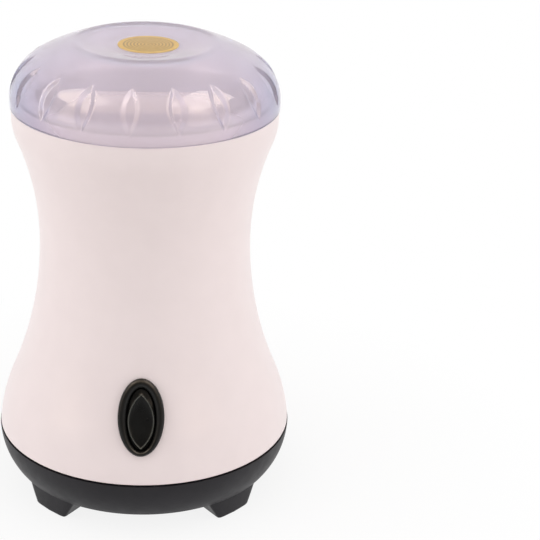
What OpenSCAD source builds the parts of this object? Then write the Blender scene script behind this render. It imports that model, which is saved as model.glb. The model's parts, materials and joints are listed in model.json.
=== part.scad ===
// Electric spice grinder. A waisted housing carries a universal motor under a steel bowl,
// a twisted blade turns in the bowl and a clear fluted lid lifts off it.
// Millimetres, +Z up. The feet stand on z = 0, the axis of the motor is the Z axis and
// the front with the push button faces -Y.

/* [Base and feet] */
// Height of the feet below the base ring
foot_h = 7.6; // [5:0.1:12]
// Height of the base ring from its lower edge to the seam
ring_h = 14.9; // [13:0.1:20]
// How far the base stands proud of the housing at the seam
base_proud = 0.2; // [0:0.05:0.6]
// Radius of the lower edge of the base ring
ring_low_r = 48; // [46.5:0.1:50]
// Thickness of the floor of the base
base_floor = 2.4; // [1.8:0.1:3.5]
// Height of the lip that plugs into the housing
lip_h = 4; // [2.5:0.1:6]
// Thickness of that lip
lip_t = 1.6; // [1.2:0.1:2.2]
// Number of feet
feet = 4; // [3:1:4]
// Radial depth of a foot
foot_depth = 11.5; // [10:0.1:13]
// Width of a foot where it leaves the ring
foot_top_w = 24.8; // [20:0.2:28]
// Width of a foot where it stands
foot_low_w = 15.4; // [13:0.2:19]
// How far the outer face of a foot leans in
foot_lean = 0.8; // [0:0.1:2]
// Width of a vent slot in the floor
vent_w = 2.6; // [2:0.1:4]
// Distance between vent slots
vent_pitch = 6; // [5:0.1:9]
// Radius of the field of vent slots
vent_field_r = 24; // [15:0.5:28]

/* [Housing] */
// Radius of the housing at its widest, just under the seam
bulge_r = 53.2; // [51:0.1:56]
// Depth of the widest ring below the seam
bulge_drop = 5; // [2:0.1:8]
// Radius of the arc of the bulge
bulge_arc = 59; // [50:0.5:70]
// Radius of the waist
waist_r = 37.3; // [36.6:0.1:40]
// Height of the waist above the seam
waist_h = 72; // [68:0.5:76]
// Radius of the band at the top
rim_r = 46; // [45:0.1:49]
// Radius of the arc under the band
flare_arc = 20; // [12:0.5:30]
// Height of the housing above the seam
housing_h = 120.4; // [118:0.1:126]
// Height of the upright band at the top
band_h = 3.4; // [2.8:0.1:5]
// Wall thickness of the housing
wall = 2.2; // [1.6:0.1:2.6]
// Height of the collar that guides the lid
collar_h = 3; // [2:0.1:4]
// Width of that collar
collar_w = 2.6; // [2:0.1:4]
// Thickness of the inner deck that carries the motor
deck_t = 2.7; // [2:0.1:3.2]
// Number of gussets under the deck
gussets = 12; // [4:4:16]

/* [Lid] */
// Outer radius of the lid
lid_r = 46.4; // [45:0.1:49]
// Height of the upright skirt of the lid
lid_skirt = 2.4; // [1.5:0.1:5]
// Radius of the shoulder
shoulder_arc = 16.2; // [14:0.1:18]
// Angle through which the shoulder turns
shoulder_turn = 62; // [55:1:66]
// Wall thickness of the lid
lid_wall = 3; // [2.4:0.1:3.4]
// Radius of the shallow dish in the crown
recess_r = 24; // [22.5:0.1:27]
// Depth of the dish
recess_depth = 1.6; // [0.8:0.1:2.4]
// Number of flutes around the shoulder
flutes = 18; // [12:1:24]
// Length of a flute along the shoulder
flute_len = 15.9; // [12:0.1:17]
// Width of a flute at its middle
flute_w = 6.2; // [3:0.1:6.5]
// Width of the narrow bottom of a flute
flute_core = 0.6; // [0.3:0.1:1.2]
// Depth of a flute at its middle
flute_depth = 1.4; // [0.6:0.1:1.8]
// Angle of the flute nearest the front, counted from the front
flute_turn = -4.9; // [-20:0.1:20]
// Radius of the sticker in the recess
sticker_r = 10.4; // [6:0.1:16]
// Thickness of the sticker
sticker_t = 0.15; // [0.1:0.01:0.3]
// How far the sticker sits off the middle
sticker_shift = 0.8; // [0:0.1:1.5]

/* [Bowl] */
// Inner radius of the bowl at its mouth
bowl_r = 37.5; // [36:0.1:38.5]
// Depth of the bowl
bowl_depth = 38; // [34:0.1:38.5]
// Radius of the corner between wall and bottom
bowl_corner = 12; // [8:0.1:16]
// Lean of the bowl's wall
bowl_taper = 6.6; // [4:0.1:10]
// Thickness of the steel
bowl_t = 0.8; // [0.5:0.05:1]
// Radius of the rounded edge between wall and flange
bowl_edge = 1.6; // [1.2:0.1:2.4]
// Radius of the raised seat in the bottom
seat_r = 11; // [10:0.1:14]
// Height of the raised seat
seat_h = 3; // [2.6:0.1:4]
// Thickness of the rubber ring under the flange
gasket_t = 0.8; // [0.5:0.1:1.5]

/* [Motor] */
// Angle of the motor's screws from the X axis
motor_turn = 45; // [45:90:135]
// Outer radius of the field stack
stator_r = 27; // [26.5:0.1:28]
// Height of the field stack and of the armature
stack_h = 25; // [20:0.5:28]
// Radius of the armature
armature_r = 14; // [12.5:0.1:14.5]
// Air gap between armature and poles
air_gap = 0.4; // [0.3:0.05:0.6]
// Number of slots in the armature
slots = 12; // [8:1:14]
// Radius of the shaft
shaft_r = 3; // [2.5:0.1:3.5]
// Radius of the shaft's lower journal
journal_r = 2.4; // [2:0.1:2.45]
// Radius of the commutator
commutator_r = 10.5; // [9:0.1:11.5]
// Height of the commutator
commutator_h = 11.5; // [10:0.1:12]
// Number of commutator bars
bars = 24; // [12:2:30]
// Radius of the cooling fan
fan_r = 19; // [15:0.1:20]
// Number of fan blades
fan_blades = 9; // [5:1:13]
// Width of a carbon brush
brush_w = 5; // [4:0.1:6]
// Height of a carbon brush
brush_h = 6; // [5:0.1:7]
// Radius of the circle of the motor's mounting screws
mount_circle = 24; // [22:0.1:25]
// Thickness of the rubber mounts
mount_t = 2; // [1.5:0.1:3]

/* [Blade] */
// Length of the blade from tip to tip
blade_len = 56; // [44:0.5:60]
// Width of a wing at its root
blade_w = 11; // [9:0.1:12]
// Width of a wing near its tip
blade_tip_w = 8; // [6:0.1:10]
// Thickness of the blade
blade_t = 1.4; // [1:0.1:2]
// Twist of a wing from root to tip
blade_twist = 24; // [0:1:35]
// Rise of a wing at its tip
blade_rise = 6; // [0:0.1:7]

/* [Button] */
// Height of the middle of the button above the seam
button_h = 22.5; // [22:0.1:26]
// Width of the button
button_w = 9.4; // [8.6:0.1:10]
// Height of the button
button_l = 21.1; // [19:0.1:22]
// Gap between the button and its bezel
button_gap = 0.45; // [0.3:0.05:0.6]
// Width of the rounded ring of the bezel at its sides
bezel_w = 2.85; // [2.4:0.05:3.2]
// Mean width of the ring at its top and bottom
bezel_end_w = 2.5; // [2.2:0.05:3]
// How far the ring sits higher than the button
bezel_rise = 0.7; // [0:0.1:0.8]
// How far the ring of the bezel stands out
bezel_proud = 1.9; // [1.4:0.1:2.6]
// How far the face of the button stands out
button_proud = 1.3; // [0.8:0.1:1.8]
// Travel of the button
travel = 2.2; // [1.5:0.1:2.5]

/* [Cord outlet] */
// Radius of the hole for the cord
outlet_r = 3.3; // [2.8:0.1:3.6]
// Radius of the gland's sleeve
gland_r = 4.4; // [4.2:0.1:4.5]
// Radius of the gland's flange
gland_flange_r = 5.9; // [5.4:0.1:6.2]

/* [Fasteners] */
// Radius of the circle of the base screws
screw_circle = 41.5; // [40:0.1:42]
// Radius of the shank of a base screw
screw_r = 1.7; // [1.4:0.1:1.9]
// Radius of the head of a base screw
screw_head_r = 3.2; // [2.6:0.1:3.4]
// Height of the head of a base screw
screw_head_h = 2.2; // [1.6:0.1:2.6]
// Length of the shank of a base screw
screw_len = 22; // [16:0.5:26]
// Radius of the motor's screws
motor_screw_r = 1.5; // [1.2:0.05:1.6]
// Radius of the heads of the motor's screws
motor_head_r = 2.8; // [2.4:0.1:3]
// Height of the heads of the motor's screws
motor_head_h = 2; // [1.4:0.1:2.4]

/* [Clearances] */
// Gap between pieces that stand still against each other
seat_gap = 0.05; // [0:0.01:0.1]
// Gap between the housing's wall and the lip of the base
lip_gap = 0.25; // [0.1:0.05:0.4]
// Gap between the collar and the lid
lid_gap = 0.3; // [0.2:0.05:0.6]
// Gap around screws in drilled holes
hole_gap = 0.2; // [0.1:0.05:0.4]
// Running gap between the shaft and what it turns in
run_gap = 0.06; // [0.03:0.01:0.1]
// Gap between a turning piece and a still one beside it
clear = 0.5; // [0.4:0.05:0.8]

/* [Hidden] */
$fn = 64;
// Overlap that joins features of one piece, and overrun of its cutters
bite = 0.5;
// Rounding of moulded edges
edge_round = 0.4;

// ---- Levels, from the floor up ----
seam_z = foot_h + ring_h;
rim_z = seam_z + housing_h;
collar_z = rim_z + collar_h;
bowl_z = collar_z + gasket_t + bowl_t;
bowl_floor_z = bowl_z - bowl_depth;
seat_z = bowl_floor_z + seat_h;
damper_t = 1.5;
deck_z = bowl_floor_z - bowl_t - damper_t - deck_t;
boss_drop = 3;
plate_t = 2.2;
plate_z = deck_z - boss_drop - mount_t - plate_t;
bearing_h = 6;
bearing_r = 8.5;
cup_wall = 1.6;
bearing_z = plate_z - 0.3;
fan_h = 5.6;
fan_z = bearing_z - cup_wall - clear - fan_h;
head_h = 7;
core_z = fan_z - clear - head_h - stack_h;
commutator_z = core_z - head_h - clear - commutator_h;
lower_plate_z = commutator_z - plate_t - clear;
bush_h = 6;
bush_r = 5.5;
bush_z = lower_plate_z - bush_h;
shaft_low_z = bush_z + seat_gap;

// ---- Outline of the housing: two bulging arcs and two hollow ones, each tangent to the next ----
flare_h = housing_h - band_h;
low_in = bulge_r - waist_r;
low_rise = waist_h + bulge_drop;
low_sum = (low_in * low_in + low_rise * low_rise) / (2 * low_in);
low_arc = low_sum - bulge_arc;
low_turn = atan2(low_rise, low_sum - low_in);
high_in = rim_r - waist_r;
high_rise = flare_h - waist_h;
high_sum = (high_in * high_in + high_rise * high_rise) / (2 * high_in);
high_arc = high_sum - flare_arc;
high_turn = atan2(high_rise, high_sum - high_in);
bulge_c = [bulge_r - bulge_arc, -bulge_drop];
low_c = [waist_r + low_arc, waist_h];
high_c = [waist_r + high_arc, waist_h];
flare_c = [rim_r - flare_arc, flare_h];

// ---- Helpers ----
function arc_points(c, r, from, to, steps) =
    [for (i = [0:steps]) let (a = from + (to - from) * i / steps) c + r * [cos(a), sin(a)]];
function all_but_last(list) = [for (i = [0:len(list) - 2]) list[i]];
function reversed(list) = [for (i = [len(list) - 1:-1:0]) list[i]];
function unit(v) = v / norm(v);
function flat(p) = [p[0], p[1]];
// Arc of radius r that rounds the corner p between its neighbours a and b
function corner(a, p, b, r, steps) =
    let (u = unit(a - p), v = unit(b - p), half = acos(u * v) / 2)
    let (c = p + unit(u + v) * r / sin(half), reach = r / tan(half))
    let (s = p + u * reach - c, e = p + v * reach - c)
    let (from = atan2(s[1], s[0]), turn = atan2(s[0] * e[1] - s[1] * e[0], s * e))
    arc_points(c, r, from, from + turn, steps);
// Closed outline through points [x, y] or [x, y, corner radius]
function rounded(list, steps = 4) = [
    for (i = [0:len(list) - 1])
    let (p = list[i], a = list[(i + len(list) - 1) % len(list)], b = list[(i + 1) % len(list)])
    each (len(p) < 3 ? [p] : corner(flat(a), flat(p), flat(b), p[2], steps))
];
function ellipse_points(a, b, steps = 40) =
    [for (i = [0:steps - 1]) [a * cos(360 * i / steps), b * sin(360 * i / steps)]];
// Outline of the housing, moved inwards by an inset, from the seam to the rim
function housing_outline(inset) = concat(
    all_but_last(
        arc_points(bulge_c, bulge_arc - inset, asin(bulge_drop / (bulge_arc - inset)), low_turn, 10)),
    all_but_last(arc_points(low_c, low_arc + inset, 180 + low_turn, 180, 16)),
    all_but_last(arc_points(high_c, high_arc + inset, 180, 180 - high_turn, 12)),
    arc_points(flare_c, flare_arc - inset, -high_turn, 0, 7));
// Radius of that outline at a height above the seam
function housing_r(h, inset = 0) =
    h < bulge_c[1] + (bulge_arc - inset) * sin(low_turn)
        ? bulge_c[0] + sqrt(pow(bulge_arc - inset, 2) - pow(h - bulge_c[1], 2))
    : h < waist_h ? low_c[0] - sqrt(pow(low_arc + inset, 2) - pow(h - waist_h, 2))
    : h < waist_h + (high_arc + inset) * sin(high_turn)
        ? high_c[0] - sqrt(pow(high_arc + inset, 2) - pow(h - waist_h, 2))
    : h < flare_h ? flare_c[0] + sqrt(pow(flare_arc - inset, 2) - pow(h - flare_h, 2))
    : rim_r - inset;
// Points of a smooth curve through a list of points
function curve_points(path, steps) = concat([
    for (i = [0:len(path) - 2], j = [0:steps - 1])
    let (p0 = path[max(i - 1, 0)], p1 = path[i], p2 = path[i + 1], p3 = path[min(i + 2, len(path) - 1)])
    let (t = j / steps)
    0.5 * (2 * p1 + (p2 - p0) * t + (2 * p0 - 5 * p1 + 4 * p2 - p3) * t * t
        + (3 * p1 - p0 - 3 * p2 + p3) * t * t * t)
], [path[len(path) - 1]]);

// Tube of radius r along a list of points, which never runs along the side direction
module tube(points, r, side, sides = 8) {
    last = len(points) - 1;
    rings = [
        for (i = [0:last])
        let (ahead = unit(points[min(i + 1, last)] - points[max(i - 1, 0)]))
        let (u = unit(cross(ahead, side)), v = cross(ahead, u))
        for (k = [0:sides - 1])
        points[i] + r * (cos(360 * k / sides) * u + sin(360 * k / sides) * v)
    ];
    walls = [
        for (i = [0:last - 1], k = [0:sides - 1])
        let (n = (k + 1) % sides)
        each [[i * sides + k, (i + 1) * sides + k, (i + 1) * sides + n],
            [i * sides + k, (i + 1) * sides + n, i * sides + n]]
    ];
    polyhedron(rings, concat([[for (k = [0:sides - 1]) k]], walls,
        [[for (k = [sides - 1:-1:0]) last * sides + k]]));
}

// Coil spring on the Z axis from z = 0
module coil_spring(mean_r, wire_r, length, turns) {
    steps = 11;
    points = [
        for (i = [0:turns * steps])
        [mean_r * cos(360 * i / steps), mean_r * sin(360 * i / steps),
            wire_r + (length - 2 * wire_r) * i / (turns * steps)]
    ];
    tube(points, wire_r, [0, 0, 1], 6);
}

module ring(r_out, r_in, h) {
    difference() {
        cylinder(r = r_out, h = h);
        translate([0, 0, -bite]) cylinder(r = r_in, h = h + 2 * bite);
    }
}

// ---- Housing ----
deck_hole_r = seat_r;
collar_r = lid_r - lid_wall - lid_gap;
top_t = 2.2;
boss_r = 4.4;
boss_skin = 0.4;
screw_seat_drop = 10.5;
screw_seat_z = seam_z - screw_seat_drop;
button_pivot = [0, -housing_r(button_h), seam_z + button_h];
bezel_a = button_w / 2 + button_gap;
bezel_b = button_l / 2 + button_gap;
bezel_reach = bezel_b + bezel_end_w;
bezel_low_h = button_h + bezel_rise - bezel_reach;
bezel_high_h = button_h + bezel_rise + bezel_reach;
button_tilt = atan2(housing_r(bezel_low_h) - housing_r(bezel_high_h), 2 * bezel_reach);
bezel_depth = 3;
sleeve_t = 1.2;
sleeve_depth = 4;
flange_t = 1.2;
flange_lip = 0.8;
flange_z = -sleeve_depth - seat_gap - flange_t;
switch_gap = 0.8;
switch_front_z = flange_z - travel - switch_gap;
switch_depth = 7.8;
switch_len = 20;
switch_w = 6.4;
rib_t = 2;
switch_hole_pitch = 9.5;
switch_screw_r = 1.1;

// Places children on the housing's wall: local Z points out of the wall, local Y up along it
module on_button_axis() {
    translate(button_pivot) rotate([90 - button_tilt, 0, 0]) children();
}

module housing_shell() {
    collar_in_r = collar_r - collar_w;
    translate([0, 0, seam_z]) rotate_extrude($fn = 96) polygon(rounded(concat(
        housing_outline(0),
        [[rim_r, housing_h, edge_round], [collar_r, housing_h],
            [collar_r, housing_h + collar_h, edge_round],
            [collar_in_r, housing_h + collar_h, edge_round], [collar_in_r, housing_h - top_t],
            [rim_r - wall, housing_h - top_t]],
        reversed(housing_outline(wall))), 3));
}

// Solid of all that lies within the middle of the housing's wall, up to the deck
module housing_core() {
    top = deck_z + deck_t - seam_z;
    rim = [for (p = housing_outline(wall / 2)) if (p[1] < top) p];
    translate([0, 0, seam_z]) rotate_extrude($fn = 96)
        polygon(concat([[0, 0]], rim, [[housing_r(top, wall / 2), top], [0, top]]));
}

module screw_places(r, count, first) {
    for (i = [0:count - 1]) rotate([0, 0, first + 360 * i / count]) translate([r, 0, 0]) children();
}

gusset_h = 14;
gusset_w = 7;
web_t = 2;
web_low_h = lip_h + 1;
screw_tip_gap = 0.5;
boss_cap = 2.5;
screw_hole_h = screw_seat_z + screw_len + screw_tip_gap - seam_z;
housing_boss_h = screw_hole_h + boss_cap;
module housing() color("mistyrose") difference() {
    union() {
        housing_shell();
        intersection() {
            housing_core();
            union() {
                translate([0, 0, deck_z]) cylinder(r = rim_r, h = deck_t);
                screw_places(mount_circle, 4, motor_turn + 45)
                    translate([0, 0, deck_z - boss_drop]) cylinder(r = boss_r, h = boss_drop + bite);
                screw_places(screw_circle, feet, 45) translate([0, 0, seam_z]) {
                    cylinder(r = boss_r, h = housing_boss_h);
                    translate([0, -web_t / 2, web_low_h]) cube([bulge_r, web_t, housing_boss_h - web_low_h]);
                }
                for (i = [0:gussets - 1]) rotate([0, 0, 360 * (i + 0.5) / gussets])
                    rotate([90, 0, 0]) linear_extrude(web_t, center = true)
                        polygon([[waist_r + 4, deck_z + bite], [waist_r - wall - gusset_w, deck_z + bite],
                            [waist_r - wall, deck_z - gusset_h], [waist_r + 4, deck_z - gusset_h]]);
                on_button_axis() switch_rib();
            }
        }
    }
    translate([0, 0, deck_z - bite]) cylinder(r = deck_hole_r, h = deck_t + 2 * bite);
    screw_places(mount_circle, 4, motor_turn + 45)
        translate([0, 0, deck_z - boss_drop - bite])
            cylinder(r = motor_screw_r + seat_gap, h = boss_drop + deck_t - boss_skin + bite);
    screw_places(screw_circle, feet, 45)
        translate([0, 0, seam_z - bite]) cylinder(r = screw_r + seat_gap, h = screw_hole_h + bite);
    on_button_axis() translate([0, 0, -sleeve_depth - 2 * bite])
        linear_extrude(sleeve_depth + bezel_depth + 4 * bite)
            polygon(ellipse_points(bezel_a + sleeve_t + seat_gap, bezel_b + sleeve_t + seat_gap));
}

// Upright rib behind the button, shaped like a C, that the switch is screwed to
module switch_rib() {
    arm_w = 2.4;
    arm = bezel_b + sleeve_t + flange_lip * 2;
    front = switch_front_z + switch_gap / 2;
    back = switch_front_z - switch_depth;
    arm_back = switch_front_z - rib_t;
    difference() {
        translate([switch_w / 2 + seat_gap, 0, 0]) rotate([90, 0, 90]) linear_extrude(rib_t) polygon([
            [-arm - arm_w, bite], [-arm, bite], [-arm, front], [arm, front], [arm, bite],
            [arm + arm_w, bite], [arm + arm_w, arm_back], [switch_len / 2, back], [-switch_len / 2, back],
            [-arm - arm_w, arm_back]]);
        for (side = [-1, 1])
            translate([0, side * switch_hole_pitch / 2, switch_front_z - switch_depth / 2])
                rotate([0, 90, 0]) cylinder(r = switch_screw_r + seat_gap, h = switch_w + rib_t);
    }
}

// ---- Base ----
base_r = housing_r(0) + base_proud;
base_in = base_r - ring_low_r;
base_arc = (ring_h * ring_h + base_in * base_in) / (2 * base_in);
foot_low_r = ring_low_r - foot_lean;
outlet_z = foot_h + ring_h / 2;
outlet_face = base_r - base_proud;
gland_flange_t = 1.5;
gland_hook = 0.5;
outlet_boss_r = gland_flange_r + 1.1;
pan_in_r = ring_low_r - 3.2;
well_gap = 0.5;
outlet_inner = pan_in_r - 1;

module base() color("#3c3a3f") difference() {
    union() {
        base_pan();
        screw_places(0, feet, 45) foot();
        screw_places(screw_circle, feet, 45)
            translate([0, 0, foot_h + bite]) cylinder(r = boss_r, h = ring_h - bite - seat_gap);
        intersection() {
            translate([0, 0, outlet_z]) rotate([-90, 0, 0]) cylinder(r = outlet_boss_r, h = outlet_face);
            translate([-outlet_boss_r, outlet_inner, foot_h])
                cube([2 * outlet_boss_r, base_r, ring_h]);
        }
    }
    screw_places(screw_circle, feet, 45) {
        translate([0, 0, -bite]) cylinder(r = screw_head_r + well_gap, h = screw_seat_z + bite);
        cylinder(r = screw_r + hole_gap, h = seam_z);
    }
    translate([0, 0, outlet_z]) rotate([-90, 0, 0]) {
        cylinder(r = gland_r + seat_gap, h = base_r + bite);
        translate([0, 0, outlet_face - gland_flange_t])
            cylinder(r = gland_flange_r + hole_gap, h = gland_flange_t + bite);
    }
    translate([0, 0, foot_h - bite]) linear_extrude(base_floor + 2 * bite) vent_slots();
}

// Pan with a curved rim and the lip that plugs into the housing
module base_pan() {
    lip_low = housing_r(0, wall) - lip_gap;
    lip_top = housing_r(lip_h, wall) - lip_gap;
    translate([0, 0, foot_h]) rotate_extrude($fn = 96) polygon(rounded(concat(
        [[0, 0], [ring_low_r, 0, 1]],
        arc_points([base_r - base_arc, ring_h], base_arc, -asin(ring_h / base_arc) * 0.86, 0, 7),
        [[lip_low, ring_h], [lip_top, ring_h + lip_h], [lip_top - lip_t, ring_h + lip_h],
            [lip_low - lip_t, ring_h], [pan_in_r, base_floor, 1], [0, base_floor]]), 3));
}

// Foot at +X: a tapered block whose outer face follows the ring
module foot() {
    intersection() {
        rotate_extrude($fn = 96) polygon([[foot_low_r - foot_depth, 0], [foot_low_r, 0],
            [ring_low_r - 0.4, foot_h + bite], [foot_low_r - foot_depth, foot_h + bite]]);
        rotate([90, 0, 90]) linear_extrude(ring_low_r + bite) polygon(rounded([
            [-foot_low_w / 2, 0, 1.2], [foot_low_w / 2, 0, 1.2], [foot_top_w / 2, foot_h],
            [foot_top_w / 2, foot_h + bite], [-foot_top_w / 2, foot_h + bite],
            [-foot_top_w / 2, foot_h]], 3));
    }
}

// Parallel vent slots in a round field
module vent_slots() {
    rows = floor((vent_field_r - vent_w) / vent_pitch);
    for (i = [-rows:rows])
        let (half = sqrt(pow(vent_field_r, 2) - pow(i * vent_pitch, 2)) - vent_w / 2)
        polygon(rounded([[-half, i * vent_pitch - vent_w / 2, vent_w * 0.45],
            [half, i * vent_pitch - vent_w / 2, vent_w * 0.45],
            [half, i * vent_pitch + vent_w / 2, vent_w * 0.45],
            [-half, i * vent_pitch + vent_w / 2, vent_w * 0.45]], 4));
}

// Pan-head screw with a cross slot, its head below z = 0 and its shank above
module pan_screw(shank_r, head_r, head_h, length) {
    difference() {
        union() {
            translate([0, 0, -head_h]) rotate_extrude($fn = 32) polygon(rounded(
                [[0, 0], [head_r * 0.9, 0, head_h * 0.4], [head_r, head_h], [0, head_h]], 3));
            cylinder(r = shank_r, h = length - shank_r, $fn = 32);
            translate([0, 0, length - shank_r])
                cylinder(r1 = shank_r, r2 = shank_r * 0.3, h = shank_r, $fn = 32);
        }
        for (turn = [0, 90]) rotate([0, 0, turn])
            translate([-head_r * 0.55, -head_r * 0.12, -head_h - bite])
                cube([head_r * 1.1, head_r * 0.24, head_h * 0.6 + bite]);
    }
}

module base_screws() color("silver")
    screw_places(screw_circle, feet, 45)
        translate([0, 0, screw_seat_z]) pan_screw(screw_r, screw_head_r, screw_head_h, screw_len);

module cord_gland() color("#222222") translate([0, 0, outlet_z]) rotate([-90, 0, 0]) difference() {
    union() {
        translate([0, 0, outlet_inner - gland_flange_t])
            cylinder(r = gland_r, h = outlet_face - outlet_inner + gland_flange_t);
        translate([0, 0, outlet_face - gland_flange_t]) cylinder(r = gland_flange_r, h = gland_flange_t);
        translate([0, 0, outlet_inner - gland_flange_t])
            cylinder(r = gland_r + gland_hook, h = gland_flange_t - seat_gap);
    }
    cylinder(r = outlet_r, h = base_r + bite);
}

// ---- Lid ----
crown_turn_r = (lid_r - shoulder_arc) / cos(shoulder_turn);
crown_arc = shoulder_arc + crown_turn_r;
crown_c = [0, lid_skirt - crown_turn_r * sin(shoulder_turn)];
shoulder_c = [lid_r - shoulder_arc, lid_skirt];
crown_edge_h = crown_c[1] + sqrt(crown_arc * crown_arc - recess_r * recess_r);
recess_h = crown_edge_h - recess_depth;
recess_slope = 10.5;
recess_top_arc = 5;
recess_low_arc = 24;
crown_turn = acos(recess_r / crown_arc);
ceiling_edge = crown_c + (crown_arc - lid_wall) * [cos(crown_turn), sin(crown_turn)];
ceiling_arc = 3;
ceiling_free_turn = 1.5;
flute_rise = 3.2;
flute_mid = shoulder_turn / 2 + flute_rise;
flute_bow = shoulder_arc - sqrt(pow(shoulder_arc, 2) - pow(flute_len / 2, 2)) - flute_depth;
flute_arc = (pow(flute_len / 2, 2) + flute_bow * flute_bow) / (2 * flute_bow);
flute_flank = (flute_w - flute_core) / 2 / flute_depth;
flute_c = shoulder_c + (shoulder_arc - flute_depth - flute_arc) * [cos(flute_mid), sin(flute_mid)];

module lid() color("thistle", 0.5) translate([0, 0, rim_z]) difference() {
    rotate_extrude($fn = 96) polygon(rounded(concat(
        [[lid_r - lid_wall, 0, edge_round], [lid_r, 0, edge_round]],
        all_but_last(arc_points(shoulder_c, shoulder_arc, 0, shoulder_turn, 12)),
        all_but_last(arc_points(crown_c, crown_arc, shoulder_turn, crown_turn, 4)),
        [[recess_r, crown_edge_h, recess_top_arc], [recess_r - recess_slope, recess_h, recess_low_arc],
            [0, recess_h], [0, recess_h - lid_wall],
            [recess_r - recess_slope, recess_h - lid_wall, recess_low_arc], concat(ceiling_edge, ceiling_arc)],
        all_but_last(arc_points(crown_c, crown_arc - lid_wall, crown_turn - ceiling_free_turn,
            shoulder_turn, 2)),
        arc_points(shoulder_c, shoulder_arc - lid_wall, shoulder_turn, 0, 10)), 3));
    for (i = [0:flutes - 1]) rotate([0, 0, flute_turn - 90 + 360 * i / flutes]) flute_cutter();
}

// V-shaped tool swept along an arc that is flatter than the shoulder, so that it leaves a pointed oval
module flute_cutter() {
    half = asin(flute_len / 2 / flute_arc) + 4;
    reach = flute_depth + 1;
    mouth = flute_core / 2 + reach * flute_flank;
    translate([flute_c[0], 0, flute_c[1]]) rotate([90, half - flute_mid, 0])
        rotate_extrude(angle = 2 * half) translate([flute_arc, 0]) polygon([
            [0, -flute_core / 2], [reach, -mouth], [reach, mouth], [0, flute_core / 2]]);
}

module lid_sticker() color("goldenrod")
    translate([sticker_shift, 0, rim_z + recess_h]) cylinder(r = sticker_r, h = sticker_t);

// ---- Bowl ----
bowl_corner_c = [
    bowl_r + (-bowl_corner + (bowl_corner - bowl_depth) * sin(bowl_taper)) / cos(bowl_taper),
    bowl_corner - bowl_depth
];
bowl_edge_c = [bowl_r + (bowl_edge - bowl_edge * sin(bowl_taper)) / cos(bowl_taper), -bowl_edge];
bowl_flange_r = collar_r - lid_gap;
bushing_r = 5.8;
bushing_flange_r = 8.6;
bushing_flange_t = 1.5;
bushing_top_z = seat_z + bushing_flange_t;
bushing_nut_r = seat_r - 2.4;
bushing_nut_h = seat_h - bowl_t;
seal_t = 1.4;
seal_r = 4.8;

// Inner face of the bowl from the flange to the middle, moved outwards by an offset
function bowl_outline(out) = concat(
    [[bowl_flange_r, -out]],
    arc_points(bowl_edge_c, bowl_edge - out, 90, 180 - bowl_taper, 4),
    arc_points(bowl_corner_c, bowl_corner + out, -bowl_taper, -90, 8),
    [[seat_r + out * 0.6, -bowl_depth - out], [seat_r - 1.6 + out * 0.6, seat_h - bowl_depth - out],
        [bushing_r + seat_gap, seat_h - bowl_depth - out]]);

module grinding_bowl() color("lightsteelblue") translate([0, 0, bowl_z]) rotate_extrude($fn = 96)
    polygon(concat(bowl_outline(0), reversed(bowl_outline(bowl_t))));

module bowl_gasket() color("dimgray") translate([0, 0, collar_z])
    ring(bowl_flange_r, collar_r - collar_w + lid_gap, gasket_t);

module bowl_damper() color("dimgray") translate([0, 0, deck_z + deck_t])
    ring(seat_r + 6, seat_r + 1.5, damper_t);

// Flanged sleeve that holds the bowl and lets the shaft through
module shaft_bushing() color("burlywood") difference() {
    union() {
        translate([0, 0, seat_z]) rotate_extrude() polygon(rounded([[0, 0], [bushing_flange_r, 0],
            [bushing_flange_r - 0.6, bushing_flange_t, 0.5], [0, bushing_flange_t]], 3));
        translate([0, 0, bowl_floor_z - bowl_t]) cylinder(r = bushing_r, h = seat_h + bowl_t + bite);
    }
    translate([0, 0, deck_z]) cylinder(r = shaft_r + run_gap, h = bowl_depth);
    translate([0, 0, bushing_top_z - seal_t]) cylinder(r = seal_r + seat_gap, h = seal_t + bite);
}

module bushing_nut() color("darkgray") translate([0, 0, seat_z - bowl_t - bushing_nut_h]) difference() {
    cylinder(r = bushing_nut_r, h = bushing_nut_h, $fn = 6);
    translate([0, 0, -bite]) cylinder(r = bushing_r + seat_gap, h = bushing_nut_h + 2 * bite);
}

module shaft_seal() color("black") translate([0, 0, bushing_top_z - seal_t]) rotate_extrude()
    polygon([[seal_r, 0], [seal_r, seal_t], [shaft_r + 1, seal_t], [shaft_r + run_gap, seal_t * 0.7],
        [shaft_r + run_gap, seal_t * 0.35], [shaft_r + 0.8, 0]]);

// ---- Blade ----
spacer_z = bushing_top_z + clear;
spacer_h = 2.4;
spacer_r = 5.2;
blade_z = spacer_z + spacer_h;
blade_hub_r = 6;
stud_r = shaft_r - 0.5;
washer_h = 0.8;
nut_h = 3.2;
nut_r = 4.6;
nut_z = blade_z + blade_t + washer_h;

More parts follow.
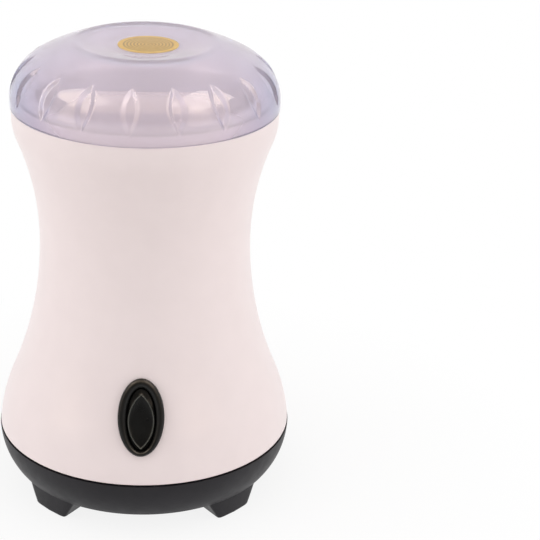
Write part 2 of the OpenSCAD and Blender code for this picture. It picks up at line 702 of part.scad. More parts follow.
// Wing along +X: stations from hub to tip with a bevelled leading edge, twisting and rising
module wing() {
    steps = 8;
    bevel = 2.2;
    root = blade_hub_r * 0.9;
    length = blade_len / 2 - 2 - root;
    stations = concat([[stud_r + 1, 0, 0, blade_w]], [for (i = [0:steps]) [
        root + length * i / steps,
        blade_twist * pow(i / steps, 1.3),
        blade_rise * pow(i / steps, 1.6),
        blade_w + (blade_tip_w - blade_w) * i / steps]]);
    tip = [blade_len / 2, blade_twist, blade_rise, blade_tip_w * 0.55];
    points = [
        for (s = concat(stations, [tip]))
        let (w = s[3] / 2, t = blade_t)
        for (q = [[-w, 0], [w - bevel, 0], [w, t * 0.4], [w, t * 0.6], [w - bevel, t], [-w, t]])
        let (y = q[0], z = q[1] - t / 2)
        [s[0], y * cos(s[1]) - z * sin(s[1]), y * sin(s[1]) + z * cos(s[1]) + t / 2 + s[2]]
    ];
    last = len(stations);
    walls = [
        for (i = [0:last - 1], k = [0:5]) let (a = i * 6 + k, b = i * 6 + (k + 1) % 6)
        each [[a, a + 6, b + 6], [a, b + 6, b]]
    ];
    polyhedron(points, concat([[for (k = [0:5]) k]], walls, [[for (k = [5:-1:0]) last * 6 + k]]));
}

module blade() color("silver") translate([0, 0, blade_z]) difference() {
    union() {
        cylinder(r = blade_hub_r, h = blade_t);
        wing();
        rotate([0, 0, 180]) wing();
    }
    translate([0, 0, -bite]) cylinder(r = stud_r + seat_gap, h = blade_t + 2 * bite);
}

module blade_spacer() color("gold") translate([0, 0, spacer_z])
    ring(spacer_r, stud_r + seat_gap, spacer_h);

module blade_washer() color("gainsboro") translate([0, 0, blade_z + blade_t])
    ring(nut_r + 0.6, stud_r + seat_gap, washer_h);

module blade_nut() color("gainsboro") translate([0, 0, nut_z]) difference() {
    union() {
        cylinder(r = nut_r, h = nut_h, $fn = 6);
        translate([0, 0, nut_h]) intersection() {
            sphere(r = nut_r * 0.85);
            cylinder(r = nut_r, h = nut_r);
        }
    }
    translate([0, 0, -bite]) cylinder(r = stud_r + seat_gap, h = nut_h + 1 + bite);
}

// ---- Motor ----
yoke_t = 4.5;
bore_r = armature_r + air_gap;
pole_shoe_t = 3.4;
window_r = stator_r - yoke_t;
shoe_r = bore_r + pole_shoe_t;
bolt_circle = stator_r - yoke_t / 2;
pole_half = 38;
shoe_half = 62;
coil_half = 76;
coil_gap = 0.4;
bolt_pad_r = 3.4;
slot_r = armature_r * 0.115;
slot_circle = armature_r * 0.76;
slot_mouth = 1.4;

// Sector of a ring with its middle on the Y axis, in the plane
module sector(r_out, r_in, half) {
    polygon(concat(arc_points([0, 0], r_out, 90 - half, 90 + half, 12),
        arc_points([0, 0], r_in, 90 + half, 90 - half, 12)));
}

module stator_core() color("slategray") rotate([0, 0, motor_turn]) translate([0, 0, core_z])
    linear_extrude(stack_h) difference() {
        intersection() {
            circle(r = stator_r);
            square([2 * stator_r, 2 * stator_r - 5], center = true);
        }
        circle(r = bore_r);
        for (side = [0, 180]) rotate(side + 90) stator_window();
        for (side = [-1, 1])
            translate([side * bolt_circle, 0]) circle(r = motor_screw_r + hole_gap, $fn = 24);
    }

// Opening between the two poles, with the pockets that hold the sides of the coils
module stator_window() {
    open_half = 90 - shoe_half;
    pocket_half = 90 - pole_half;
    sector(window_r, shoe_r, pocket_half);
    sector(window_r - bite, bore_r - bite, open_half);
}

module field_coils() color("peru") rotate([0, 0, motor_turn]) for (side = [0, 180]) rotate([0, 0, side])
    difference() {
        translate([0, 0, core_z - head_h + 1]) linear_extrude(stack_h + 2 * head_h - 2)
            sector(window_r - coil_gap, shoe_r + coil_gap, coil_half);
        translate([0, 0, core_z - coil_gap]) linear_extrude(stack_h + 2 * coil_gap)
            sector(window_r + bite, shoe_r - bite, pole_half + 2);
    }

module armature_core() color("gray") translate([0, 0, core_z]) linear_extrude(stack_h) difference() {
    circle(r = armature_r);
    circle(r = shaft_r + seat_gap);
    for (i = [0:slots - 1]) rotate(360 * i / slots) {
        translate([slot_circle, 0]) circle(r = slot_r, $fn = 24);
        translate([slot_circle, -slot_mouth / 2]) square([armature_r, slot_mouth]);
    }
}

// Copper bundles through the slots, joined by a rounded head at each end
module armature_winding() color("chocolate") difference() {
    union() {
        for (end = [core_z - head_h, core_z + stack_h + seat_gap])
            translate([0, 0, end]) rotate_extrude() polygon(rounded([[shaft_r, 0, 0.8],
                [armature_r - 2.4, 0, 2.4], [armature_r - 1.2, head_h - seat_gap, 2],
                [shaft_r, head_h - seat_gap, 0.8]], 3));
        for (i = [0:slots - 1]) rotate([0, 0, 360 * i / slots])
            translate([slot_circle, 0, core_z - bite])
                cylinder(r = slot_r - 2 * seat_gap, h = stack_h + 2 * bite, $fn = 24);
    }
    translate([0, 0, core_z - head_h - bite])
        cylinder(r = shaft_r + hole_gap, h = stack_h + 2 * head_h + 2 * bite);
}

riser_h = 1.5;
riser_reach = 0.7;
slit_w = 0.5;
slit_depth = 0.9;
module commutator() color("orange") translate([0, 0, commutator_z]) difference() {
    union() {
        cylinder(r = commutator_r, h = commutator_h);
        translate([0, 0, commutator_h - riser_h]) cylinder(r = commutator_r + riser_reach, h = riser_h);
    }
    translate([0, 0, -bite]) cylinder(r = shaft_r + seat_gap, h = commutator_h + 2 * bite);
    for (i = [0:bars - 1]) rotate([0, 0, 360 * i / bars])
        translate([commutator_r - slit_depth, -slit_w / 2, -bite])
            cube([slit_depth + riser_reach + bite, slit_w, commutator_h + 2 * bite]);
}

fan_disc_t = 1.2;
fan_hub_r = shaft_r + 3;
fan_lean = 20;
// Radial fan: a hub and a disc with blades that lean back
module cooling_fan() color("whitesmoke") translate([0, 0, fan_z]) difference() {
    union() {
        cylinder(r = fan_hub_r, h = fan_h);
        cylinder(r = fan_r, h = fan_disc_t);
        for (i = [0:fan_blades - 1]) rotate([0, 0, 360 * i / fan_blades])
            translate([fan_hub_r - bite, 0, 0]) rotate([0, 0, -fan_lean])
                translate([0, -fan_disc_t / 2, bite])
                    cube([(fan_r - shaft_r) * 0.8, fan_disc_t, fan_h - bite]);
    }
    translate([0, 0, -bite]) cylinder(r = shaft_r + seat_gap, h = fan_h + 2 * bite);
}

module motor_shaft() color("lightgray") {
    translate([0, 0, shaft_low_z]) cylinder(r = journal_r, h = lower_plate_z - shaft_low_z + bite);
    translate([0, 0, lower_plate_z + clear]) cylinder(r = shaft_r, h = spacer_z - lower_plate_z - clear);
    translate([0, 0, spacer_z - bite]) cylinder(r = stud_r, h = nut_z + nut_h - spacer_z + bite);
}

// Spider over the motor: a bearing cup, four arms to the deck and two arms to the bolts
module upper_bracket() color("darkgray") rotate([0, 0, motor_turn]) difference() {
    union() {
        translate([0, 0, plate_z]) linear_extrude(plate_t) {
            circle(r = bearing_r + cup_wall + 1);
            for (i = [0:3]) rotate(45 + 90 * i) arm(mount_circle, 2 * boss_r, boss_r);
            for (side = [0, 180]) rotate(side) arm(bolt_circle, 2 * bolt_pad_r, bolt_pad_r);
        }
        translate([0, 0, bearing_z - cup_wall])
            cylinder(r = bearing_r + cup_wall, h = bearing_h + cup_wall);
        for (side = [-1, 1]) translate([side * bolt_circle, 0, core_z + stack_h])
            cylinder(r = bolt_pad_r, h = plate_z - core_z - stack_h + bite);
    }
    translate([0, 0, bearing_z]) cylinder(r = bearing_r + seat_gap, h = bearing_h + bite);
    translate([0, 0, bearing_z - cup_wall - bite]) cylinder(r = shaft_r + 2, h = cup_wall + 2 * bite);
    for (i = [0:3]) rotate([0, 0, 45 + 90 * i]) translate([mount_circle, 0, plate_z - bite])
        cylinder(r = motor_screw_r + hole_gap, h = plate_t + 2 * bite);
    for (side = [-1, 1]) translate([side * bolt_circle, 0, core_z])
        cylinder(r = motor_screw_r + hole_gap, h = plate_z + plate_t + bite - core_z);
}

// Flat arm along +X that ends in a round pad
module arm(reach, width, pad_r) {
    translate([0, -width / 2]) square([reach, width]);
    translate([reach, 0]) circle(r = pad_r);
}

brush_z = commutator_z + (commutator_h - riser_h) / 2;
brush_gap = 0.15;
brush_len = 7.5;
spring_space = 5.2;
holder_t = 0.8;
holder_in = commutator_r + riser_reach + 0.8;
holder_out = commutator_r + brush_len + spring_space + holder_t;
plinth_z = brush_z - brush_h / 2 - brush_gap - holder_t;
lower_boss_r = bush_r + cup_wall;

// Lower bracket: a bush cup, two posts to the field stack and two plinths for the brushes
module lower_bracket() color("#2d2d30") rotate([0, 0, motor_turn]) difference() {
    union() {
        translate([0, 0, lower_plate_z]) linear_extrude(plate_t) {
            circle(r = lower_boss_r + bolt_pad_r);
            for (side = [0, 180]) rotate(side) arm(bolt_circle, 2 * bolt_pad_r, bolt_pad_r);
            for (side = [90, 270]) rotate(side) translate([0, -brush_w]) square([holder_out, 2 * brush_w]);
        }
        translate([0, 0, bush_z - cup_wall]) cylinder(r = lower_boss_r, h = bush_h + cup_wall + bite);
        for (side = [-1, 1]) translate([side * bolt_circle, 0, lower_plate_z])
            cylinder(r = bolt_pad_r, h = core_z - lower_plate_z);
        for (side = [90, 270]) rotate([0, 0, side])
            translate([holder_in + 1, -brush_w * 0.8, lower_plate_z + bite])
                cube([holder_out - holder_in - 2, brush_w * 1.6, plinth_z - lower_plate_z - bite]);
    }
    translate([0, 0, bush_z]) cylinder(r = bush_r + seat_gap, h = bush_h + plate_t + 2 * bite);
    for (side = [-1, 1]) translate([side * bolt_circle, 0, lower_plate_z - bite])
        cylinder(r = motor_screw_r + hole_gap, h = core_z - lower_plate_z + 2 * bite);
}

// Ball bearing drawn closed, with grooves at its shields
module upper_bearing() color("silver") translate([0, 0, bearing_z]) rotate_extrude()
    polygon([[shaft_r + run_gap, 0], [shaft_r + 1.6, 0], [shaft_r + 1.6, 0.4], [bearing_r - 1.6, 0.4],
        [bearing_r - 1.6, 0], [bearing_r, 0], [bearing_r, bearing_h], [bearing_r - 1.6, bearing_h],
        [bearing_r - 1.6, bearing_h - 0.4], [shaft_r + 1.6, bearing_h - 0.4], [shaft_r + 1.6, bearing_h],
        [shaft_r + run_gap, bearing_h]]);

module lower_bearing() color("peru") translate([0, 0, bush_z])
    ring(bush_r, journal_r + run_gap, bush_h);

module at_brushes() {
    for (side = [90, 270]) rotate([0, 0, motor_turn + side]) translate([0, 0, brush_z]) children();
}

module brush_holders() color("khaki") at_brushes() difference() {
    brush_box(holder_in, holder_out, brush_gap + holder_t);
    brush_box(holder_in - bite, holder_out - holder_t, brush_gap);
}

// Block between two radii that is larger than a brush by a margin
module brush_box(from, to, margin) {
    w = brush_w + 2 * margin;
    h = brush_h + 2 * margin;
    translate([from, -w / 2, -h / 2]) cube([to - from, w, h]);
}

module carbon_brushes() color("#303030") at_brushes() difference() {
    brush_box(commutator_r - 1, commutator_r + brush_len, 0);
    translate([0, 0, -brush_h]) cylinder(r = commutator_r + run_gap, h = 2 * brush_h);
}

module brush_springs() color("darkgoldenrod") at_brushes()
    translate([commutator_r + brush_len + seat_gap, 0, 0]) rotate([0, 90, 0])
        coil_spring(brush_w * 0.38, brush_w * 0.05, spring_space - 2 * seat_gap, 4);

module motor_bolts() color("silver") rotate([0, 0, motor_turn]) for (side = [-1, 1])
    translate([side * bolt_circle, 0, lower_plate_z])
        pan_screw(motor_screw_r, motor_head_r, motor_head_h, plate_z + plate_t - lower_plate_z + 1);

module motor_mounts() color("dimgray") screw_places(mount_circle, 4, motor_turn + 45)
    translate([0, 0, plate_z + plate_t]) ring(boss_r, motor_screw_r + seat_gap, mount_t);

module mount_screws() color("silver") screw_places(mount_circle, 4, motor_turn + 45)
    translate([0, 0, plate_z])
        pan_screw(motor_screw_r, motor_head_r, motor_head_h, deck_z + deck_t - 2 * boss_skin - plate_z);

// ---- Button and switch ----
vesica_w = button_w - 0.3;
vesica_l = button_l - 0.7;
face_drop = 0.2;
body_edge = 0.5;
pocket_r = 3.3;
pocket_z = -1.8;
pin_r = 1.3;
plunger_r = 1.55;
plunger_gap = 0.25;
plunger_tip_z = flange_z - plunger_gap;
plunger_deep = 3.2;
plunger_side_gap = 0.15;
ridge_h = 0.4;
ridge_w = 0.45;
face_t = 0.1;

// Pointed oval, in the plane, moved inwards by an inset
module vesica(inset = 0) {
    a = vesica_w / 2;
    b = vesica_l / 2;
    r = (a * a + b * b) / (2 * a);
    half = acos((r - a) / (r - inset));
    polygon(concat(all_but_last(arc_points([a - r, 0], r - inset, -half, half, 14)),
        all_but_last(arc_points([r - a, 0], r - inset, 180 - half, 180 + half, 14))));
}

// Push button: an oval body under a pointed face with a fine raised edge, a flange that keeps it
// in the bezel, a pocket for the spring and a pin for the switch
module button() color("#1c1c1a") on_button_axis() difference() {
    union() {
        translate([0, 0, flange_z]) linear_extrude(flange_t)
            polygon(ellipse_points(bezel_a + flange_lip, bezel_b + flange_lip));
        translate([0, 0, flange_z + bite]) linear_extrude(body_edge - flange_z - bite)
            polygon(ellipse_points(button_w / 2, button_l / 2));
        hull() {
            translate([0, 0, body_edge - face_t]) linear_extrude(face_t)
                polygon(ellipse_points(button_w / 2, button_l / 2));
            translate([0, -face_drop, button_proud - ridge_h]) linear_extrude(face_t) vesica();
        }
        translate([0, -face_drop, button_proud - ridge_h]) linear_extrude(ridge_h) difference() {
            vesica();
            vesica(ridge_w);
        }
    }
    translate([0, 0, flange_z - bite]) ring(pocket_r, pin_r, pocket_z - flange_z + bite);
}

// Bezel: a rounded ring that follows the curved wall, and a sleeve through the wall
module button_bezel() color("#1c1c1a") {
    difference() {
        on_button_axis() bezel_ring();
        translate([0, 0, seam_z]) rotate_extrude($fn = 96)
            polygon(concat([[0, 0]], housing_outline(-seat_gap), [[0, flare_h]]));
    }
    on_button_axis() translate([0, 0, -sleeve_depth]) linear_extrude(sleeve_depth + bite) difference() {
        polygon(ellipse_points(bezel_a + sleeve_t, bezel_b + sleeve_t));
        polygon(ellipse_points(bezel_a, bezel_b));
    }
}

// Half-round section carried between two ovals, deep enough to reach the wall everywhere; the
// outer oval sits a little higher than the inner one
module bezel_ring(steps = 40) {
    section = concat([[0, -bezel_depth], [1, -bezel_depth]],
        [for (q = arc_points([bezel_w / 2, bezel_proud - bezel_w / 2], bezel_w / 2, 0, 180, 8))
            [q[0] / bezel_w, q[1]]]);
    sides = len(section);
    points = [
        for (i = [0:steps - 1])
        let (
            a = 360 * i / steps,
            near = [bezel_a * cos(a), bezel_b * sin(a)],
            far = [(bezel_a + bezel_w) * cos(a), bezel_rise + bezel_reach * sin(a)])
        for (q = section)
        concat(near + q[0] * (far - near), q[1])
    ];
    polyhedron(points, [
        for (i = [0:steps - 1], k = [0:sides - 1])
        let (j = (i + 1) % steps, n = (k + 1) % sides)
        each [[i * sides + k, j * sides + n, j * sides + k], [i * sides + k, i * sides + n, j * sides + n]]
    ]);
}

spring_low_z = switch_front_z + seat_gap;
spring_wire_r = 0.3;
module button_spring() color("silver") on_button_axis() translate([0, 0, spring_low_z])
    coil_spring((pocket_r + plunger_r) / 2, spring_wire_r, pocket_z - seat_gap - spring_low_z, 5);

module switch_body() color("#26262a") on_button_axis() difference() {
    translate([-switch_w / 2, -switch_len / 2, switch_front_z - switch_depth])
        cube([switch_w, switch_len, switch_depth]);
    translate([0, 0, switch_front_z - plunger_deep - travel - clear])
        cylinder(r = plunger_r + plunger_side_gap, h = switch_depth);
    for (side = [-1, 1])
        translate([-switch_w, side * switch_hole_pitch / 2, switch_front_z - switch_depth / 2])
            rotate([0, 90, 0]) cylinder(r = switch_screw_r + seat_gap, h = 2 * switch_w);
}

module switch_plunger() color("firebrick") on_button_axis()
    translate([0, 0, switch_front_z - plunger_deep])
        cylinder(r = plunger_r, h = plunger_tip_z - switch_front_z + plunger_deep);

terminal_places = [-7.5, -1];
terminal_len = 3.2;
terminal_w = 3.2;
terminal_t = 0.8;
module switch_terminals() color("gold") on_button_axis() for (y = terminal_places)
    translate([-terminal_t / 2, y - terminal_w / 2, switch_front_z - switch_depth - terminal_len])
        cube([terminal_t, terminal_w, terminal_len - seat_gap]);

switch_head_r = 1.9;
switch_head_h = 1.3;
module switch_screws() color("silver") on_button_axis() for (side = [-1, 1])
    translate([-switch_w / 2, side * switch_hole_pitch / 2, switch_front_z - switch_depth / 2])
        rotate([0, 90, 0]) pan_screw(switch_screw_r, switch_head_r, switch_head_h, switch_w + rib_t);

// ---- Leads ----
lead_r = 0.9;
lead_gap = 0.1;
crimp_pitch = 10;
crimp_h = 9;
crimp_low_r = lead_r + 1.4;
crimp_top_r = lead_r + 0.8;
crimp_y = outlet_inner - gland_flange_t - crimp_h - 5;
coil_low_z = core_z - head_h + 1;
terminal_back = switch_front_z - switch_depth - terminal_len;
// Point in the button's plane x = 0, at a height y along the wall and a depth z behind it
function from_button(y, z) = button_pivot
    + [0, y * sin(button_tilt) - z * cos(button_tilt), y * cos(button_tilt) + z * sin(button_tilt)];
// Straight start of a lead behind a terminal
function off_terminal(y) = [for (back = [lead_gap, 1.5, 3]) from_button(y, terminal_back - back)];
// Straight end of a lead in front of a crimp cap
function into_cap(x) = [for (back = [4, 2, lead_gap]) [x, crimp_y - back, outlet_z]];
brush_end = (holder_out + lead_gap) * [cos(motor_turn - 90), sin(motor_turn - 90), 0] + [0, 0, brush_z];
coil_end = (window_r - 2.5) * [cos(motor_turn + 60), sin(motor_turn + 60), 0] + [0, 0, coil_low_z];
lead_routes = [
    concat(off_terminal(terminal_places[0]), [
        from_button(terminal_places[0], terminal_back) + [7, 0, -4.5],
        from_button(terminal_places[0], terminal_back) + [15, 3, 0],
        brush_end * 1.17 - [0, 0, brush_z * 0.17 + 6]],
        [for (out = [3, 1.5, 0]) brush_end + out * unit([brush_end[0], brush_end[1], 0])]),
    concat(off_terminal(terminal_places[1]), [
        from_button(terminal_places[1], terminal_back) + [-5, 5, -6], [-12, -12, outlet_z + 6],
        [-12, 6, outlet_z + 3]], into_cap(-crimp_pitch / 2)),
    concat([for (drop = [lead_gap, 1.5, 3]) coil_end - [0, 0, drop]], [
        coil_end + [1.5, 2.5, -12], [10, 24, outlet_z + 11]], into_cap(crimp_pitch / 2))
];

module lead_wires() color("saddlebrown") for (route = lead_routes)
    tube(curve_points(route, 6), lead_r, [1, 0.15, 0.1]);

module crimp_caps() color("ivory") for (x = [-1, 1] * crimp_pitch / 2)
    translate([x, crimp_y, outlet_z]) rotate([-90, 0, 0]) rotate_extrude($fn = 32) polygon(rounded(
        [[0, 0], [crimp_low_r, 0, edge_round], [crimp_top_r, crimp_h, edge_round], [0, crimp_h]], 3));

housing();
base();
base_screws();
cord_gland();
lid();
lid_sticker();
grinding_bowl();
bowl_gasket();
bowl_damper();
shaft_bushing();
bushing_nut();
shaft_seal();
blade();
blade_spacer();
blade_washer();
blade_nut();
motor_shaft();
armature_core();
armature_winding();
commutator();
cooling_fan();
stator_core();
field_coils();
upper_bracket();
lower_bracket();
upper_bearing();
lower_bearing();
brush_holders();
carbon_brushes();
brush_springs();
motor_bolts();
motor_mounts();
mount_screws();
button();
button_bezel();
button_spring();
switch_body();
switch_plunger();
switch_terminals();
switch_screws();
lead_wires();
crimp_caps();
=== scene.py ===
import json
import math
import bmesh
import bpy
import numpy as np
from mathutils import Matrix, Vector


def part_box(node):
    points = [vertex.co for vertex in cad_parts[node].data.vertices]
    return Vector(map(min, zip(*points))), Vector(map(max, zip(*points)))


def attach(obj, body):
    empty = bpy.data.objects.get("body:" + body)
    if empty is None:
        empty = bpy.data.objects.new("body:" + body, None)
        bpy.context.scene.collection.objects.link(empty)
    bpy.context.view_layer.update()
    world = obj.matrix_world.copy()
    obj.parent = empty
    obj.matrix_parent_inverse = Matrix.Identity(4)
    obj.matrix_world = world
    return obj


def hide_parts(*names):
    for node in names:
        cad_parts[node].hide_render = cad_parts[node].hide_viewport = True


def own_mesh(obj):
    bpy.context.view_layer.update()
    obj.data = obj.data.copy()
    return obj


# Electric spice grinder: a white waisted housing on a dark base with four feet, a clear fluted
# lid with a dished crown, and a black push button in an oval bezel. Sizes are in millimetres and
# angles in degrees; solid() turns millimetres to metres. The front with the button faces -Y.

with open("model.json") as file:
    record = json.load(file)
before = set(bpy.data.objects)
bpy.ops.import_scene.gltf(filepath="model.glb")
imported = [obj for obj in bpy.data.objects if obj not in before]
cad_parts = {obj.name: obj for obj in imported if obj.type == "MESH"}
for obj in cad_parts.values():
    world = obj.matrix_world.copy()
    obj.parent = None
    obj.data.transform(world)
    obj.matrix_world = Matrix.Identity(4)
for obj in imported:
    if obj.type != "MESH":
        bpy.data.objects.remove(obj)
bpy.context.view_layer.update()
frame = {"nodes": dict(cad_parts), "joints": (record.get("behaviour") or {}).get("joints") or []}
MM = 0.001


def corners(node):
    """Lowest and highest corner of a CAD node, in millimetres."""
    return tuple(np.array(corner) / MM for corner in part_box(node))


def half_width(node):
    """Half the width of a CAD node along X."""
    low, high = corners(node)
    return (high[0] - low[0]) / 2


# ---- Sizes of the frame ----
SEAM_Z = corners("housing")[0][2]
COLLAR_Z = corners("housing")[1][2]
RIM_Z = corners("lid")[0][2]
RECESS_Z = corners("lid_sticker")[0][2]
STICKER_R, LID_R, BASE_R = (half_width(node) for node in ("lid_sticker", "lid", "base"))
STICKER_X = corners("lid_sticker")[1][0] - STICKER_R
BOWL_FLANGE_Z = corners("grinding_bowl")[1][2]
BOWL_FLANGE_R = corners("grinding_bowl")[1][0]

# ---- Counts and gaps that several pieces share ----
FEET, FEET_TURN = 4, 45      # feet and base screws, and the angle of the first
OVAL_STEPS = 256             # points round an oval
SEAT_GAP = 0.05              # between pieces that sit in each other
PAST = 1.0                   # how far a cut goes on past what it cuts

# ---- Housing: bulge at the seam, waist, flare, upright band and the collar under the lid ----
BULGE_R, BULGE_DROP, BULGE_ARC = 53.2, 5.0, 59.0
WAIST_R, WAIST_H = 37.3, 72.0
RIM_R, FLARE_ARC, BAND_H = 46.0, 20.0, 3.4
WALL, TOP_T = 2.2, 2.2
HOUSING_H = RIM_Z - SEAM_Z
FLARE_H = HOUSING_H - BAND_H
COLLAR_R, COLLAR_W = 43.1, 2.6
DECK_T, DECK_HOLE_R = 2.7, 11.0
MOUNTS, MOUNT_CIRCLE = 4, 24.0

# ---- Lid: upright skirt, shoulder with flutes, crown with a dish ----
LID_SKIRT, SHOULDER_ARC, SHOULDER_TURN, LID_WALL = 2.4, 16.2, 62.0, 3.0
RECESS_R, RECESS_SLOPE, RECESS_TOP_ARC, RECESS_LOW_ARC = 24.0, 10.5, 5.0, 24.0
FLUTES, FLUTE_LEN, FLUTE_W, FLUTE_DEPTH, FLUTE_TURN = 18, 15.9, 6.2, 1.4, -4.9
FLUTE_CORE, FLUTE_RISE = 0.6, 3.2

# ---- Base: ring, pan, lip, feet, screw bosses and the outlet for a cord ----
FOOT_H = 7.6
RING_H = SEAM_Z - FOOT_H
RING_LOW_R = 48.0
BASE_FLOOR, LIP_H, LIP_T, LIP_GAP = 2.4, 4.0, 1.6, 0.25
FOOT_DEPTH, FOOT_TOP_W, FOOT_LOW_W, FOOT_LEAN = 11.5, 24.8, 15.4, 0.8
SCREW_CIRCLE, BOSS_R = 41.5, 4.4
OUTLET_R, OUTLET_FLANGE_R = 4.45, 6.1

# ---- Button: oval body in a half-round bezel, sleeve in the wall, spring in its pocket ----
BUTTON_W, BUTTON_L, BUTTON_GAP = 9.4, 21.1, 0.45
BEZEL_W, BEZEL_END_W, BEZEL_RISE, BEZEL_PROUD = 2.85, 2.5, 0.7, 1.9
SLEEVE_T, SLEEVE_DEPTH = 1.2, 4.0
BUTTON_PROUD, BODY_EDGE, FACE_DROP, RIDGE_W, RIDGE_H = 1.3, 0.5, 0.65, 0.65, 0.45
BUTTON_H = 22.5
POCKET_R, POCKET_Z, PIN_R = 3.3, -1.8, 1.3
SPRING_R, SPRING_WIRE, SPRING_LEN, SPRING_TURNS = 2.425, 0.3, 6.27, 5
PRESS_JOINT = next(joint for joint in frame["joints"] if joint["name"] == "button_press")
PRESS = Vector(PRESS_JOINT["axis"])


# ---- Shapes: an array of points and a list of faces, in millimetres ----
def arc(centre, radius, start, end, steps):
    """Points on a circle from one angle to another, both included."""
    turn = np.radians(np.linspace(start, end, steps + 1))
    return np.array(centre) + radius * np.stack([np.cos(turn), np.sin(turn)], 1)


def filleted(points, radii, steps=4):
    """Outline with rounded corners: each corner gives way to the arc that touches both sides."""
    points, rows = np.array(points, float), []
    for i, radius in enumerate(radii):
        corner = points[i]
        if not radius:
            rows.append(corner[None])
            continue
        u = points[i - 1] - corner
        v = points[(i + 1) % len(points)] - corner
        u, v = u / np.linalg.norm(u), v / np.linalg.norm(v)
        half = math.acos(np.clip(u @ v, -1, 1)) / 2
        centre = corner + (u + v) / np.linalg.norm(u + v) * radius / math.sin(half)
        start, end = (corner + side * radius / math.tan(half) - centre for side in (u, v))
        first = math.atan2(start[1], start[0])
        swing = math.atan2(start[0] * end[1] - start[1] * end[0], start @ end)
        rows.append(arc(centre, radius, math.degrees(first), math.degrees(first + swing), steps))
    return np.concatenate(rows)


def skin(rows, loop=False, poles=False):
    """Quads over a grid of points. Each row closes on itself, the rows close on each other when
    loop is set, and poles adds a point in the middle of the first and of the last row."""
    count, width = rows.shape[:2]
    index = np.arange(count * width).reshape(count, width)
    low = index if loop else index[:-1]
    high = np.roll(index, -1, 0) if loop else index[1:]
    quads = np.stack([low, np.roll(low, -1, 1), np.roll(high, -1, 1), high], -1).reshape(-1, 4)
    points, faces = rows.reshape(-1, 3), quads.tolist()
    if poles:
        points = np.concatenate([points, rows[[0, -1]].mean(1)])
        for pole, edge in ((count * width, index[0]), (count * width + 1, index[-1])):
            faces += np.stack([np.roll(edge, -1), edge, np.full(width, pole)], 1).tolist()
    return points, faces


def turned(profile, columns=256, poles=False):
    """Surface of revolution: each point (r, z) of the profile goes once round the Z axis."""
    turn = np.linspace(0, 2 * np.pi, columns, endpoint=False)
    r, z = np.array(profile).T
    rows = np.stack([np.outer(r, np.cos(turn)), np.outer(r, np.sin(turn)),
                     np.repeat(z[:, None], columns, 1)], -1)
    return skin(rows, loop=not poles, poles=poles)


def prism(outline, low, high):
    """Upright prism between two heights over a flat outline."""
    outline = np.array(outline)
    rows = np.stack([np.column_stack([outline, np.full(len(outline), z)]) for z in (low, high)])
    points, faces = skin(rows)
    count = len(outline)
    return points, faces + [list(range(count)), list(range(count, 2 * count))]


def moved(shape, matrix):
    """The shape after a rotation and a shift in millimetres."""
    turn, shift = np.array(matrix.to_3x3()), np.array(matrix.translation)
    return shape[0] @ turn.T + shift, shape[1]


def around(shape, count, first=0.0):
    """Copies of the shape at equal steps round the Z axis."""
    return joined([moved(shape, Matrix.Rotation(math.radians(first + 360 * i / count), 4, "Z"))
                   for i in range(count)])


def joined(shapes):
    """Several shapes as one."""
    points, faces, start = [], [], 0
    for shape in shapes:
        points.append(shape[0])
        faces += [[start + i for i in face] for face in shape[1]]
        start += len(shape[0])
    return np.concatenate(points), faces


def tube(path, radius, sides=12):
    """Round wire: a circle carried along a path, square to it, with a cap at each end."""
    ahead = np.gradient(path, axis=0)
    ahead /= np.linalg.norm(ahead, axis=1)[:, None]
    side = np.cross(ahead, [0.0, 0.0, 1.0])
    side /= np.linalg.norm(side, axis=1)[:, None]
    other = np.cross(ahead, side)
    turn = np.linspace(0, 2 * np.pi, sides, endpoint=False)[None, :, None]
    rows = path[:, None] + radius * (np.cos(turn) * side[:, None] + np.sin(turn) * other[:, None])
    return skin(rows, poles=True)


def coil(mean_r, wire_r, length, turns, steps=28):
    """Coil spring on the Z axis from z = 0: a wire along a helix, with a number of steps a turn."""
    t = np.linspace(0, 1, int(turns * steps) + 1)
    turn = 2 * np.pi * turns * t
    path = np.stack([mean_r * np.cos(turn), mean_r * np.sin(turn),
                     wire_r + (length - 2 * wire_r) * t], 1)
    return tube(path, wire_r, 10)


def placed(name, data):
    """Object made of a mesh, a camera or a lamp, and linked to the scene."""
    made = bpy.data.objects.new(name, data)
    bpy.context.scene.collection.objects.link(made)
    return made


def solid(name, shape, crease=38):
    """Mesh object of a shape, in metres, with its faces outwards and its edges sharp past the
    crease angle."""
    mesh = bpy.data.meshes.new(name)
    mesh.from_pydata((shape[0] * MM).tolist(), [], shape[1])
    work = bmesh.new()
    work.from_mesh(mesh)
    bmesh.ops.recalc_face_normals(work, faces=work.faces)
    if work.calc_volume(signed=True) < 0:
        bmesh.ops.reverse_faces(work, faces=work.faces)
    work.to_mesh(mesh)
    work.free()
    return smooth(placed(name, mesh), crease)


def smooth(piece, crease):
    """The piece shaded smooth, but sharp where two faces meet at more than the crease angle."""
    piece.data.shade_smooth()
    piece.data.set_sharp_from_angle(angle=math.radians(crease))
    return piece


def mark(piece, name, values):
    """Attribute with one number for each point of the piece."""
    piece.data.attributes.new(name, "FLOAT", "POINT").data.foreach_set("value", values)


def combined(piece, shape, operation="DIFFERENCE", crease=38):
    """The piece after a second shape is cut from it or fused to it."""
    tool = solid("tool", shape)
    change = piece.modifiers.new("change", "BOOLEAN")
    change.operation, change.object, change.solver = operation, tool, "EXACT"
    depsgraph = bpy.context.evaluated_depsgraph_get()
    mesh = bpy.data.meshes.new_from_object(piece.evaluated_get(depsgraph))
    piece.modifiers.clear()
    piece.data = mesh
    bpy.data.objects.remove(tool)
    return smooth(piece, crease)


# ---- Materials ----
# Sockets of a Mix node: the factor, two values, two colours, and the mixed colour it puts out
FACTOR, VALUE_A, VALUE_B, COLOUR_A, COLOUR_B, MIXED = 0, 2, 3, 6, 7, 2


